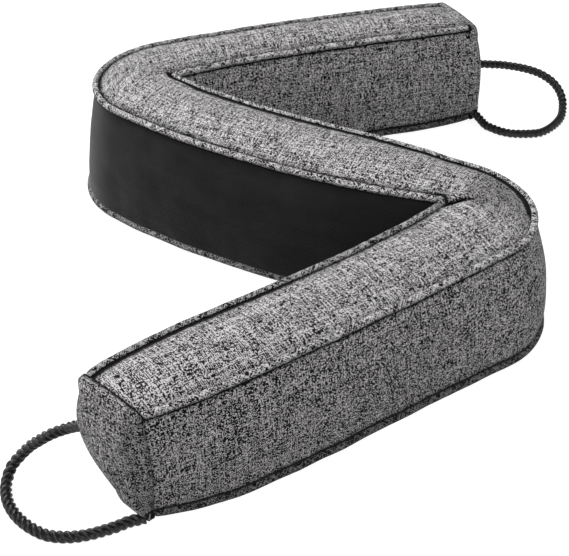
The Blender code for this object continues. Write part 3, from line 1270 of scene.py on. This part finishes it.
@dataclass
class FilledCover:
    """The grey cloth round the filling: crowned top, grey side, base, and the hidden side."""

    shape: StripShape
    finish: HeatherCloth
    top_points: int = 26
    side_points: int = 38
    base_points: int = 7
    stuffing: float = 0.00075
    pucker: float = 0.00075
    end_dip: float = 0.0010
    corner_dip: float = 0.0016
    # Widths of the painted shade lines beside the top seams and above the base seam.
    line_width: float = 0.0060
    low_line_width: float = 0.0048
    # A patch of painted shade on the top beyond the right fold's crease, where the top slopes away
    # from the light: its middle in plan, its reach and its strength.
    rubbed_place: tuple[float, float] = (0.1330, -0.0480)
    rubbed_reach: float = 0.0340
    rubbed_shade: float = 0.26
    creases: tuple[Crease, ...] = (
        Crease(((0.0900, -0.0528), (0.0935, -0.0530), (0.0988, -0.0523), (0.1052, -0.0514),
                (0.1150, -0.0514)), depth=0.0052, puff=0.0028, width=0.0024),
        Crease(((-0.0843, 0.1022), (-0.0872, 0.1046), (-0.0905, 0.1080), (-0.0940, 0.1135)),
               depth=0.0040, puff=0.0016, width=0.0022),
        Crease(((-0.0925, 0.1150), (-0.0978, 0.1181)), depth=0.0016, puff=0.0004, width=0.0030),
    )

    def _half(self, side: Side) -> tuple[Array, Array, Array]:
        """Half a section, from the top's middle to the base's middle.

        Args:
            side: Which half; the pile side's cloth lies hidden, so it has fewer points.

        Returns:
            Distances out and heights, (rings, points), and the zone of each point.
        """
        shape, hidden = self.shape, side is Side.PILE
        top_out, top_up = (column(values) for values in shape.seam(side, Edge.TOP))
        base_out, base_up = (column(values) for values in shape.seam(side, Edge.BASE))
        share = 1.0 - (1.0 - np.linspace(0.04, 1.0, self.top_points)) ** 1.35
        groove = math.radians(168)
        edge_out, edge_up = top_out + SEAT * math.cos(groove), top_up + SEAT * math.sin(groove)
        crown = TOP_CLOTH + column(shape.rings.crown) - edge_up
        steps = np.linspace(0.0, 1.0, 10 if hidden else self.side_points)
        steps = mix(steps, smooth(steps), 0.5)
        top_turns = np.radians((182, 202) if hidden else (182, 202, 226, 250))
        base_turns = np.radians((162, 190, 216) if hidden else (110, 134, 162, 190, 216))
        flat = (base_out - 1.7 * SEAT) * np.linspace(1.0, 0.0, self.base_points + 1)[:-1] ** 0.8
        parts = (
            (Zone.TOP, edge_out * share, edge_up + crown * (1 - share ** 2) ** 1.12),
            (Zone.TOP_GROOVE, top_out + SEAT * np.cos(top_turns),
             top_up + SEAT * np.sin(top_turns)),
            (Zone.SIDE, *shape.side_curve(side, steps, 0.0028 if hidden else 0.0003)),
            (Zone.BASE_GROOVE, base_out + SEAT * np.cos(base_turns),
             np.maximum(base_up + SEAT * np.sin(base_turns), CLEAR)),
            (Zone.BASE, flat, 0.0 * flat),
        )
        return (np.concatenate([out for _, out, _ in parts], 1),
                np.concatenate([up for _, _, up in parts], 1),
                np.concatenate([np.full(out.shape[1], zone) for zone, out, _ in parts]))

    def build(self) -> bpy.types.Object:
        """Builds the cover.

        Returns:
            The finished object.
        """
        rings = self.shape.rings
        left_out, left_up, left_zone = self._half(Side.PILE)
        right_out, right_up, right_zone = self._half(Side.GREY)
        middle = TOP_CLOTH + column(rings.crown)
        across = np.concatenate([left_out[:, ::-1], 0.0 * middle, -right_out,
                                 0.0 * middle], axis=1)
        up = np.concatenate([left_up[:, ::-1], middle, right_up, 0.0 * middle], axis=1)
        zone = np.concatenate([left_zone[::-1], [Zone.TOP], right_zone, [Zone.BASE]])
        sign = np.concatenate([np.ones(len(left_zone)), [0], -np.ones(len(right_zone)), [0]])
        points = rings.place(across, up)
        normals = grid_normals(points)
        along = walked(points, 1)
        push, shade = self._relief(points, across, along, zone, sign)
        outward = 1.0 if normals[len(points) // 2, int(np.argmax(up[0])), 2] > 0 else -1.0
        points = points + normals * push[..., None] * outward
        points[..., 2] = np.where(zone == Zone.BASE, 0.0, np.maximum(points[..., 2], 0.0001))
        skin = Skin("cover_cloth")
        index = skin.add_grid(points, self._cloth_map(points, along, zone, sign), shade)
        for ring, tip in ((0, Tip.NEAR), (-1, Tip.FAR)):
            self._close(skin, index[ring], across[ring], up[ring], tip)
        return skin.build(self.finish.material())

    def _relief(self, points: Array, across: Array, along: Array, zone: Array,
                sign: Array) -> tuple[Array, Array]:
        """How far each point is pushed out, and the shade of seams and creases.

        Args:
            points: The points.
            across: Distance to the left.
            along: Length round the section.
            zone: Zone of each point.
            sign: Side of each point.

        Returns:
            The push and the shade, (rings, points).
        """
        run = column(self.shape.rings.run)
        soft = Waves(0.055, 5, 0.8).at(run, along) + 0.5 * Waves(0.024, 6, 0.9).at(run, along)
        top_push, top_shade = self._top_relief(points, across, run, soft)
        grey_push, grey_shade = self._grey_relief(points[..., 2], run, soft)
        # Grooves get the full painted shade.
        top, grey = (zone == Zone.TOP), (zone == Zone.SIDE) & (sign < 0)
        groove = (zone == Zone.TOP_GROOVE) | (zone == Zone.BASE_GROOVE)
        push = np.where(top, top_push, np.where(grey, grey_push, 0.0))
        return push, np.clip(np.where(top, top_shade, np.where(grey, grey_shade, groove)), 0, 1)

    def _top_relief(self, points: Array, across: Array, run: Array,
                    soft: Array) -> tuple[Array, Array]:
        """The relief of the top: soft lumps, gathers and painted shade lines at its seams, a patch
        of painted shade beyond the right fold's crease, and creases with painted shade in them.

        Args:
            points: The points.
            across: Distance to the left.
            run: Length along the route.
            soft: The lumps of the filling.

        Returns:
            The push and the shade.
        """
        offs = [column(self.shape.seam(side, Edge.TOP)[0]) - PIPING_RADIUS - side.value * across
                for side in Side]
        push, shade = np.zeros_like(across), np.zeros_like(across)
        for side, off, seed in zip(Side, offs, (71, 83)):
            push -= self.pucker * Puckers(0.0125, seed, reach=0.0065).beside(run, off)
            # Painted shade lines beside the top seams.
            line = column(self.shape.top_line(side)) * faded(off, self.line_width)
            shade = np.maximum(shade, line)
        inwards = np.minimum(*offs)
        push += self.stuffing * soft * smooth(inwards / 0.012)
        # A patch of painted shade beyond the right fold's crease, not wear.
        worn = np.hypot(*(points[..., axis] - self.rubbed_place[axis] for axis in (0, 1)))
        painted_patch_shade = self.rubbed_shade * smooth((self.rubbed_reach - worn) / 0.018)
        shade = np.maximum(shade, painted_patch_shade)
        # Creases push the cloth in and add painted shade.
        for crease in self.creases:
            pinched, dark = crease.at(points[..., 0], points[..., 1])
            push += pinched * smooth(inwards / 0.002 + 0.4)
            shade = np.maximum(shade, dark)
        return push - self.end_dip * np.exp(-column(self.shape.rings.to_tip) / 0.0024), shade

    def _grey_relief(self, up: Array, run: Array, soft: Array) -> tuple[Array, Array]:
        """The relief of the grey side: soft lumps, gathers and painted shade lines along its
        seams, and tucked corners darkened with painted shade.

        Args:
            up: Height of each point.
            run: Length along the route.
            soft: The lumps of the filling.

        Returns:
            The push and the shade.
        """
        below, above = TOP_SEAM - SEAT - up, up - BASE_SEAM - SEAT
        push, shade = np.zeros_like(up), np.zeros_like(up)
        for off, seed, width in ((below, 97, column(self.shape.under_line())),
                                 (above, 101, self.low_line_width)):
            push -= self.pucker * Puckers(0.0135, seed).beside(run, off)
            # Painted shade lines under the top seam and over the base seam.
            shade = np.maximum(shade, faded(off, width))
        push += 1.1 * self.stuffing * soft * smooth(np.minimum(below, above) / 0.015)
        # Painted shade in the tucked corners at the ends.
        tuck = np.exp(-column(self.shape.rings.to_tip) / 0.0022) * np.exp(-below / 0.0045)
        return push - self.corner_dip * tuck, np.maximum(shade, tuck)

    def _cloth_map(self, points: Array, along: Array, zone: Array, sign: Array) -> Array:
        """Cloth coordinates of every quad's corners, true to size.

        The top and the base are mapped leg by leg, so that their yarns run along each leg; the
        sides run on through the folds, and start at SIDE_CLOTH, by which the weave knows them.

        Args:
            points: The points.
            along: Length round the section.
            zone: Zone of each point.
            sign: Side of each point.

        Returns:
            The coordinates, (rings - 1, points, 4, 2).
        """
        rings, count = along.shape
        lengths = walked(points)
        top_middle = int(np.argmax(points[rings // 2, :, 2]))
        v = along - along[:, top_middle:top_middle + 1]
        leg = self.shape.rings.leg
        uv = np.zeros((rings - 1, count, 4, 2))
        after = (np.arange(count) + 1) % count
        side_quad = (zone == Zone.SIDE) & (zone[after] == Zone.SIDE)
        walk = lengths[:, int(np.flatnonzero(side_quad & (sign < 0))[self.side_points // 2])]
        side_walk = np.broadcast_to(column(walk), lengths.shape) + SIDE_CLOTH
        for number in range(3):
            own = np.flatnonzero(leg == number)
            middle = (own[0] + own[-1]) // 2
            by_leg = lengths - lengths[middle] + 0.4 * number
            first, last = max(own[0] - 1, 0), min(own[-1] + 1, rings - 1)
            quads, ahead = slice(first, last), slice(first + 1, last + 1)
            for corner, beyond, u in ((0, 3, by_leg), (1, 2, by_leg[:, after])):
                u = np.where(side_quad, side_walk, u)
                uv[quads, :, corner, 0], uv[quads, :, beyond, 0] = u[quads], u[ahead]
        uv[:, :, 0, 1], uv[:, :, 3, 1] = v[:-1], v[1:]
        next_v = v[:, after].copy()
        next_v[:, -1] = v[:, -1] + 0.003
        uv[:, :, 1, 1], uv[:, :, 2, 1] = next_v[:-1], next_v[1:]
        return uv

    def _close(self, skin: Skin, ring: Array, across: Array, up: Array, tip: Tip) -> None:
        """Closes an end of the cover behind its panel, with rings dark with painted shade.

        Args:
            skin: The surface in the making.
            ring: Numbers of the last ring's points.
            across: Their distances to the left.
            up: Their heights.
            tip: Which end.
        """
        last, swell = self.shape.rings.at_end(tip), tip.end.panel_swell
        flat = np.stack([across, up], axis=-1)
        # Rings dark with painted shade close the end.
        for share in (0.97, *BACK_BANDS):
            back = tip.value * swell * math.sqrt(1 - share * share)
            points = last.place(across[None] * share, drawn_in(up[None], share), back)[0]
            ring = skin.add_band(ring, points, flat, inwards=False)
        skin.add_fan(ring, last.middle(tip.value * swell), flat, np.array([0.0, HEIGHT / 2]))


@dataclass
class PileStrip:
    """The strip of loop pile along one side, tucked under its piping."""

    shape: StripShape
    finish: LoopPile
    points: int = 56
    ripple: float = 0.00035
    pucker: float = 0.00045

    def build(self) -> bpy.types.Object:
        """Builds the strip as a closed skin.

        Returns:
            The finished object.
        """
        rings = self.shape.rings
        share = np.linspace(0.0, 1.0, self.points)
        share = mix(share, smooth(share), 0.35)
        out, up = self.shape.side_curve(Side.PILE, share, 0.0)
        run = column(rings.run)
        edge = np.minimum(share, 1 - share) * HEIGHT
        soft = Waves(0.042, 131).at(run, up) + 0.5 * Waves(0.017, 132).at(run, up)
        gather = Puckers(0.0140, 133, reach=0.009).beside(run, edge)
        out = out + self.ripple * soft * smooth(edge / 0.012) - self.pucker * gather
        inner = out[:, ::-1] - PILE_THICKNESS
        across = np.concatenate([out, inner], axis=1)
        heights = np.concatenate([up, up[:, ::-1]], axis=1)
        points = rings.place(across, heights)
        walk = walked(points[:, self.points // 2])
        uv = np.stack([np.broadcast_to(column(walk), heights.shape), heights], axis=-1)
        # Painted shade along the strip's edges under the piping; the hidden inner face is fully
        # dark.
        shade = np.concatenate([np.exp(-edge / 0.0012), np.ones(self.points)])
        skin = Skin("pile_side_cloth")
        index = skin.add_grid(points, uv, np.broadcast_to(shade, heights.shape))
        for at in (0, -1):
            self._close(skin, index[at], uv[at])
        strip = skin.build(self.finish.material())
        return strip

    def _close(self, skin: Skin, ring: Array, uv: Array) -> None:
        """Closes an end of the strip with quads between its two faces.

        Args:
            skin: The surface in the making.
            ring: Numbers of the end ring's points.
            uv: Their cloth coordinates.
        """
        half = self.points
        outer, inner = ring[:half], ring[half:][::-1]
        faces = np.stack([outer[:-1], outer[1:], inner[1:], inner[:-1]], axis=-1)
        corners = np.stack([uv[:half - 1], uv[1:half], uv[1:half], uv[:half - 1]], axis=1)
        skin.add_faces(faces, corners)


@dataclass
class EndPanel:
    """A crowned panel that closes an end of the strip, seamed without piping."""

    shape: StripShape
    tip: Tip
    finish: HeatherCloth
    outline_points: int = 30
    shares: int = 34
    lap: float = 0.0010
    # The rings at the rim: share of the outline, how far back, share of the dome, and painted
    # shade.
    rim: tuple[tuple[float, float, float, float], ...] = (
        (0.955, -0.0010, 0.0, 1.0), (0.985, -0.0009, 0.0, 1.0), (1.000, -0.0006, 0.0, 1.0),
        (1.000, 0.0008, 0.1, 0.5), (0.994, 0.0016, 0.5, 0.0),
    )

    def _half(self, side: Side) -> tuple[Array, Array, Array]:
        """Half the outline, from the top's middle round the corners to the base's middle.

        Args:
            side: Which half.

        Returns:
            Distances out, heights, and how dark the painted shade along the seam is at each point.
        """
        last = self.shape.rings.at_end(self.tip)
        at = 0 if self.tip is Tip.NEAR else -1
        (top_out, top_up), (base_out, base_up) = (
            [values[at] for values in self.shape.seam(side, edge)] for edge in Edge)
        radius = PIPING_RADIUS + self.lap
        share = np.linspace(0.0, 1.0, self.outline_points)[1:-1]
        down = np.linspace(0.0, 1.0, 2 * self.outline_points)[1:-1]
        swell = float(last.swell[side][0]) * self.shape.fullness(
            side, float(self.shape.rings.stage[at]), down)
        top_turn, base_turn = (np.radians(np.linspace(*turn, 7)) for turn in ((80, 2), (-2, -88)))
        # The last value of each part is the painted shade along the seam: the near panel's top
        # edge, the corners, and the top and base of the side.
        parts = (
            ((top_out - SEAT / 2) * share,
             TOP_CLOTH + float(last.crown[0]) * (1 - share ** 2) ** 0.75,
             np.full(len(share), 0.85 if self.tip is Tip.NEAR else 0.0)),
            (top_out - self.lap + radius * np.cos(top_turn),
             top_up - self.lap + radius * np.sin(top_turn), np.full(7, 0.9)),
            (mix(top_out, base_out, down) - 0.0004 + swell,
             mix(top_up - SEAT, base_up + SEAT, down),
             0.9 * np.exp(-down / 0.07) + 0.6 * np.exp(-(1 - down) / 0.04)),
            (base_out - self.lap + radius * np.cos(base_turn),
             radius + radius * np.sin(base_turn), np.full(7, 0.9)),
            ((base_out - 3 * SEAT) * np.linspace(1.0, 0.1, 8), np.zeros(8), np.full(8, 0.9)),
        )
        out, up, dark = (np.concatenate(values) for values in zip(*parts))
        return out, up, dark

    def build(self) -> bpy.types.Object:
        """Builds the panel.

        Returns:
            The finished object.
        """
        left, right = self._half(Side.PILE), self._half(Side.GREY)
        last, swell, outwards = (self.shape.rings.at_end(self.tip), self.tip.end.panel_swell,
                                 self.tip.value)
        across = np.concatenate([left[0][::-1], [0.0], -right[0]])
        up = np.concatenate([left[1][::-1], [TOP_CLOTH + float(last.crown[0])], right[1]])
        dark = np.concatenate([left[2][::-1], right[2][:1], right[2]])
        rim_shares, rim_backs, rim_dome, rim_shade = np.array(self.rim).T
        shares = np.append(rim_shares, 1.0 - np.linspace(0.02, 0.985, self.shares) ** 1.35)
        backs = np.append(rim_backs, np.full(self.shares, GAP + PANEL_THICKNESS))
        dome = swell * np.clip(1 - shares ** 2, 0.0, 1.0) ** 0.55
        dome[:len(self.rim)] *= rim_dome
        grid_across = across[None] * column(shares)
        grid_up = drawn_in(up[None], column(shares))
        push = self._relief(grid_across, grid_up, column(shares))
        points = last.place(grid_across, grid_up, (column(backs + dome) + push) * outwards)
        points[..., 2] = np.maximum(points[..., 2], CLEAR)
        walk = np.hypot(np.diff(shares) * 0.035, np.diff(backs + dome))
        flat = column(shares[-1] + np.append(np.cumsum(walk[::-1])[::-1], 0.0) / 0.035)
        uv = np.stack([drawn_in(up[None], flat), across[None] * flat],
                      axis=-1) + (SIDE_CLOTH, 0.7 + outwards)
        # Painted shade at the rim.
        shade = dark[None] * column(np.append(rim_shade, np.zeros(self.shares)))
        # Painted shade down the near panel's grey side and along its top.
        if self.tip is Tip.NEAR:
            painted_shade_band = np.maximum(0.20 * smooth((-0.006 - grid_across) / 0.012),
                                0.10 * smooth((grid_up - HEIGHT + 0.012) / 0.010))
            shade = np.maximum(shade, painted_shade_band)
        skin = Skin(f"end_panel_{self.tip.name.lower()}_cloth")
        index = skin.add_grid(points, uv, shade)
        middle = np.array([SIDE_CLOTH + HEIGHT / 2, 0.7 + outwards])
        skin.add_fan(index[-1], last.middle((GAP + PANEL_THICKNESS + swell) * outwards), uv[-1],
                     middle)
        ring = index[0]
        # Bands dark with painted shade close the panel's back.
        for share in BACK_BANDS:
            back = GAP + swell * math.sqrt(1 - share * share)
            band = last.place(across[None] * share, drawn_in(up[None], share), back * outwards)[0]
            ring = skin.add_band(ring, band, uv[0], inwards=True)
        skin.add_fan(ring[::-1], last.middle((GAP + swell) * outwards), uv[0][::-1], middle)
        panel = skin.build(self.finish.material())
        return panel

    def _relief(self, across: Array, up: Array, shares: Array) -> Array:
        """Soft lumps of the filling, and short puckers from the panel's lower corner.

        Args:
            across: Distance to the left.
            up: Height.
            shares: Share of the outline.

        Returns:
            How far each point is pushed out.
        """
        edge = 1.0 - shares
        soft = Waves(0.030, 211 if self.tip is Tip.NEAR else 212).at(across, up)
        folds = Puckers(0.0100, 221 if self.tip is Tip.NEAR else 222).at(up)
        low = smooth((0.036 - up) / 0.02) * smooth((across * -1.0 + 0.004) / 0.01)
        return 0.0006 * soft * smooth(edge / 0.3) - 0.0009 * low * folds * (
            np.exp(-edge / 0.28) * smooth(edge / 0.05))


@dataclass
class Piping:
    """A cord covered in bias-cut cloth, sewn into a seam."""

    shape: StripShape
    side: Side
    edge: Edge
    finish: HeatherCloth
    radius: float = 0.0023
    points: int = 18
    blunt: float = 0.0024
    tuck: float = 0.0035

    def build(self) -> bpy.types.Object:
        """Builds the line of piping.

        Returns:
            The finished object.
        """
        rings = self.shape.rings
        seam_out, seam_up = self.shape.seam(self.side, self.edge)
        run = column(rings.run)
        top = self.edge is Edge.TOP
        seed = 300 + 10 * int(self.side.value) + (1 if top else 0)
        angles = np.linspace(0, 2 * math.pi, self.points, endpoint=False)[None]
        lumps = 0.5 * Waves(0.011, seed).at(run, angles * 0.003)
        creased = Waves(0.0045, seed + 5).at(run, angles * 0.002)
        to_tip = column(rings.to_tip)
        blunt = np.sqrt(np.clip(1 - (1 - np.clip(to_tip / self.blunt, 0.02, 1.0)) ** 2, 0.0, 1.0))
        radius = blunt * self.radius * (1.0 + 0.045 * lumps + 0.030 * creased)
        tuck = np.exp(-to_tip / self.tuck)
        tucked_in, tucked_down = (0.0009, 0.0007) if top else (0.0022, 0.0)
        out = column(seam_out) + radius * np.cos(angles) - tucked_in * tuck
        up = column(seam_up) + radius * np.sin(angles) - tucked_down * tuck
        points = rings.place(out * self.side.value, np.maximum(up, CLEAR))
        centre = points.mean(axis=1)
        walk = column(walked(centre))
        turns = np.linspace(0, 2 * math.pi, self.points + 1)[None] * PIPING_RADIUS
        bias = np.stack([walk + turns, walk - turns], axis=-1) / math.sqrt(2)
        skin = Skin(f"piping_{self.edge.value}_{self.side.name.lower()}_cloth")
        skin.add_tube(points, bias, self._shade(angles), centre)
        return skin.build(self.finish.material())

    def _shade(self, angles: Array) -> Array:
        """The painted shade of the roll: low down, in the folds and where it meets the top cloth.

        Args:
            angles: Places round the roll, (1, points), from its outer side up and over.

        Returns:
            The shade, 0 to 1, (rings, points) or (1, points).
        """
        top, stage = self.edge is Edge.TOP, column(self.shape.rings.stage)
        # Painted shade on the roll's lower side.
        shade = (0.24 if top else 0.10) * smooth((0.35 - np.sin(angles)) / 0.7)
        if self.side is Side.PILE:
            shade = np.maximum(shade, 0.20 * smooth(np.abs(stage - 2.6) / 0.3 - 4.0))
            shade = np.maximum(shade, 0.34 * smooth((0.51 - np.abs(stage - 1.5)) / 0.02))
        if top:
            inner = (smooth((angles - math.radians(134)) / math.radians(26))
                     * smooth((math.radians(222) - angles) / math.radians(20)))
            line = np.clip(column(self.shape.top_line(self.side)) - 0.35, 0.0, 1.0)
            shade = np.maximum(shade, line * inner)
        return shade


@dataclass
class RopeLoop:
    """A loop of twisted rope, sewn at both its ends into the seams of an end panel."""

    name: str
    route: Sequence[tuple[float, float, float]]
    finish: TwistedCord
    step: float = 0.0006
    points: int = 42
    strand_offset: float = 0.40
    strand_radius: float = 0.61
    sewn_in: float = 0.0045

    def centre_line(self, spacing: float) -> Array:
        """Points on the smooth curve through the route's points.

        Args:
            spacing: The distance from each to the next.

        Returns:
            The points, (n, 3).
        """
        points = [Vector(point) for point in self.route]
        padded = [2 * points[0] - points[1], *points, 2 * points[-1] - points[-2]]
        fine = []
        for before, first, second, after in zip(padded, padded[1:], padded[2:], padded[3:]):
            for step in range(24):
                t = step / 24
                fine.append(0.5 * (2 * first + (second - before) * t
                                   + (2 * before - 5 * first + 4 * second - after) * t * t
                                   + (3 * first - before - 3 * second + after) * t ** 3))
        fine = np.array([*fine, points[-1]])
        runs = walked(fine)
        even = np.linspace(0.0, runs[-1], round(runs[-1] / spacing) + 1)
        return np.stack([np.interp(even, runs, fine[:, axis]) for axis in range(3)], axis=-1)

    def build(self) -> bpy.types.Object:
        """Builds the rope.

        Returns:
            The finished object.
        """
        line = self.centre_line(self.step)
        ahead = np.gradient(line, axis=0)
        ahead /= np.linalg.norm(ahead, axis=1, keepdims=True)
        for _ in range(int(self.sewn_in / self.step)):
            line = np.concatenate([[line[0] - ahead[0] * self.step], line,
                                   [line[-1] + ahead[-1] * self.step]])
            ahead = np.concatenate([ahead[:1], ahead, ahead[-1:]])
        side = np.cross(ahead, (0.0, 0.0, 1.0))
        side /= np.linalg.norm(side, axis=1, keepdims=True)
        over = np.cross(side, ahead)
        run = np.arange(len(line)) * self.step
        angles = np.linspace(0, 2 * math.pi, self.points, endpoint=False)[None]
        lobe = 2 * math.pi / ROPE_STRANDS
        from_strand = (angles + lobe / 2) % lobe - lobe / 2
        reach = self.strand_offset * np.cos(from_strand) + np.sqrt(
            self.strand_radius ** 2 - (self.strand_offset * np.sin(from_strand)) ** 2)
        twist = angles - column(2 * math.pi * run / ROPE_PITCH)
        radius = ROPE_RADIUS * reach * (1 + 0.02 * Waves(0.02, 401).at(column(run), 0 * angles))
        points = (line[:, None] + side[:, None] * (radius * np.cos(twist))[..., None]
                  + over[:, None] * (radius * np.sin(twist))[..., None])
        points[..., 2] = np.maximum(points[..., 2], 0.0)
        turns = np.linspace(0, 1, self.points + 1)[None]
        flat = np.stack(np.broadcast_arrays(column(run), turns), axis=-1)
        # Painted shade in the valleys between strands.
        valley = smooth((np.abs(from_strand) / (lobe / 2) - 0.62) / 0.38)
        skin = Skin(self.name)
        skin.add_tube(points, flat, valley, line)
        rope = skin.build(self.finish.material())
        path = self.centre_line(0.002)
        return rope


# --- the studio ---------------------------------------------------------------------------------


@dataclass(frozen=True)
class SoftBox:
    """A square of soft light, aimed at the middle of the strip from a bearing and a height."""

    name: str
    bearing: float
    height: float
    power: float
    wide: float = 0.80
    away: float = 1.35
    aim: tuple[float, float, float] = (0.0, 0.0, 0.05)

    def build(self) -> None:
        """Hangs the light."""
        data = bpy.data.lights.new(self.name, "AREA")
        data.shape, data.size, data.energy = "SQUARE", self.wide, self.power
        bearing, height = math.radians(self.bearing), math.radians(self.height)
        outwards = Vector((math.cos(height) * math.cos(bearing),
                           math.cos(height) * math.sin(bearing), math.sin(height)))
        light = bpy.data.objects.new(self.name, data)
        light.location = Vector(self.aim) + outwards * self.away
        light.rotation_euler = outwards.to_track_quat("Z", "Y").to_euler()
        bpy.context.scene.collection.objects.link(light)


@dataclass(frozen=True)
class Studio:
    """The floor, the lights and the camera."""

    camera_place: tuple[float, float, float] = (-0.0091, -0.6761, 0.5265)
    camera_pitch: float = 38.6
    focal_pixels: float = 1200.0
    frame_pixels: float = 569.0
    floor_size: float = 12.0
    ambient: float = 0.11
    boxes: tuple[SoftBox, ...] = (
        SoftBox("high_back_left_box", 135.0, 65.0, 7.6),
        SoftBox("back_left_box", 150.0, 28.0, 13.6),
        SoftBox("left_box", 205.0, 45.0, 2.8),
        SoftBox("front_left_box", 230.0, 20.0, 6.0),
        SoftBox("front_right_box", 329.0, 27.0, 8.0),
    )

    def build(self) -> None:
        """Builds all of it."""
        self._floor()
        for box in self.boxes:
            box.build()
        world = bpy.data.worlds.new("studio")
        world.use_nodes = True
        background = world.node_tree.nodes["Background"]
        background.inputs["Color"].default_value = (1.0, 1.0, 1.0, 1.0)
        background.inputs["Strength"].default_value = self.ambient
        bpy.context.scene.world = world
        bpy.context.scene.view_settings.view_transform = "Standard"
        self._camera()

    def _floor(self) -> None:
        """Lays the floor, just under the strip."""
        bpy.ops.object.select_all(action="DESELECT")
        bpy.ops.mesh.primitive_plane_add(size=self.floor_size, location=(0.0, 0.0, -0.0004))
        floor = bpy.context.object
        floor.name = "floor"
        floor.data.materials.append(PaleFloor("pale_floor").material())
        floor.visible_diffuse = False

    def _camera(self) -> None:
        """Sets up the camera."""
        data = bpy.data.cameras.new("camera")
        data.sensor_width = 36.0
        data.lens = data.sensor_width * self.focal_pixels / self.frame_pixels
        data.clip_start, data.clip_end = 0.05, 50.0
        camera = bpy.data.objects.new("camera", data)
        camera.location = self.camera_place
        camera.rotation_euler = (math.radians(90.0 - self.camera_pitch), 0.0, 0.0)
        bpy.context.scene.collection.objects.link(camera)
        bpy.context.scene.camera = camera


# --- putting it together ------------------------------------------------------------------------


@dataclass
class DraughtExcluder:
    """The whole strip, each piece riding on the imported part's one body."""

    shape: StripShape

    def _fit(self, piece: bpy.types.Object, node: str) -> None:
        """Puts a piece in the place of a solid.

        Args:
            piece: The finished piece.
            node: The solid that it stands for.
        """
        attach(piece, "root")
        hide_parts(node)
        LOG.info("%s: %d faces, for %s", piece.name, len(piece.data.polygons), node)

    def build(self) -> None:
        """Builds and fits every piece."""
        cloth = HeatherCloth("heather_weave")
        # Copies of the cloth for the piping: the top rolls are lightened as a painted highlight,
        # the base rolls darkened as painted shade, low down by the floor.
        painted_highlight_roll = HeatherCloth("heather_piping_weave", lift=0.055, contrast=0.60)
        painted_shade_base_roll = HeatherCloth("heather_base_weave", lift=-0.02, contrast=0.60,
                                 dark=(0.012, 0.012, 0.0125), middle=(0.060, 0.059, 0.061),
                                 light=(0.300, 0.293, 0.298))
        painted_shade_pile_roll = HeatherCloth("heather_pile_base_weave", lift=-0.01, contrast=0.60,
                                 dark=(0.020, 0.020, 0.0205), middle=(0.130, 0.128, 0.131),
                                 light=(0.560, 0.548, 0.557))
        rolls = {(Edge.TOP, Side.GREY): painted_highlight_roll, (Edge.TOP, Side.PILE): painted_highlight_roll,
                 (Edge.BASE, Side.GREY): painted_shade_base_roll, (Edge.BASE, Side.PILE): painted_shade_pile_roll}
        cord = TwistedCord("twisted_cord")
        for name, route, node in (("rope_near", NEAR_LOOP, "rope_loop_near"),
                                  ("rope_far", FAR_LOOP, "rope_loop_far")):
            self._fit(RopeLoop(name, route, cord).build(), node)
        cover = FilledCover(self.shape, cloth).build()
        self._fit(cover, "cover")
        pile = PileStrip(self.shape, LoopPile("loop_pile")).build()
        self._fit(pile, "pile_side")
        for tip in Tip:
            panel = EndPanel(self.shape, tip, cloth).build()
            self._fit(panel, f"end_panel_{tip.name.lower()}")
        for side in Side:
            for edge in Edge:
                piping = Piping(self.shape, side, edge, rolls[edge, side]).build()
                self._fit(piping, f"piping_{edge.value}_{side.name.lower()}")


def main() -> None:
    """Builds the studio and the strip."""
    logging.basicConfig(level=logging.INFO, format="%(name)s: %(message)s")
    Studio().build()
    DraughtExcluder(StripShape(Route().rings(), SeamPull())).build()


if __name__ == "__main__":
    main()
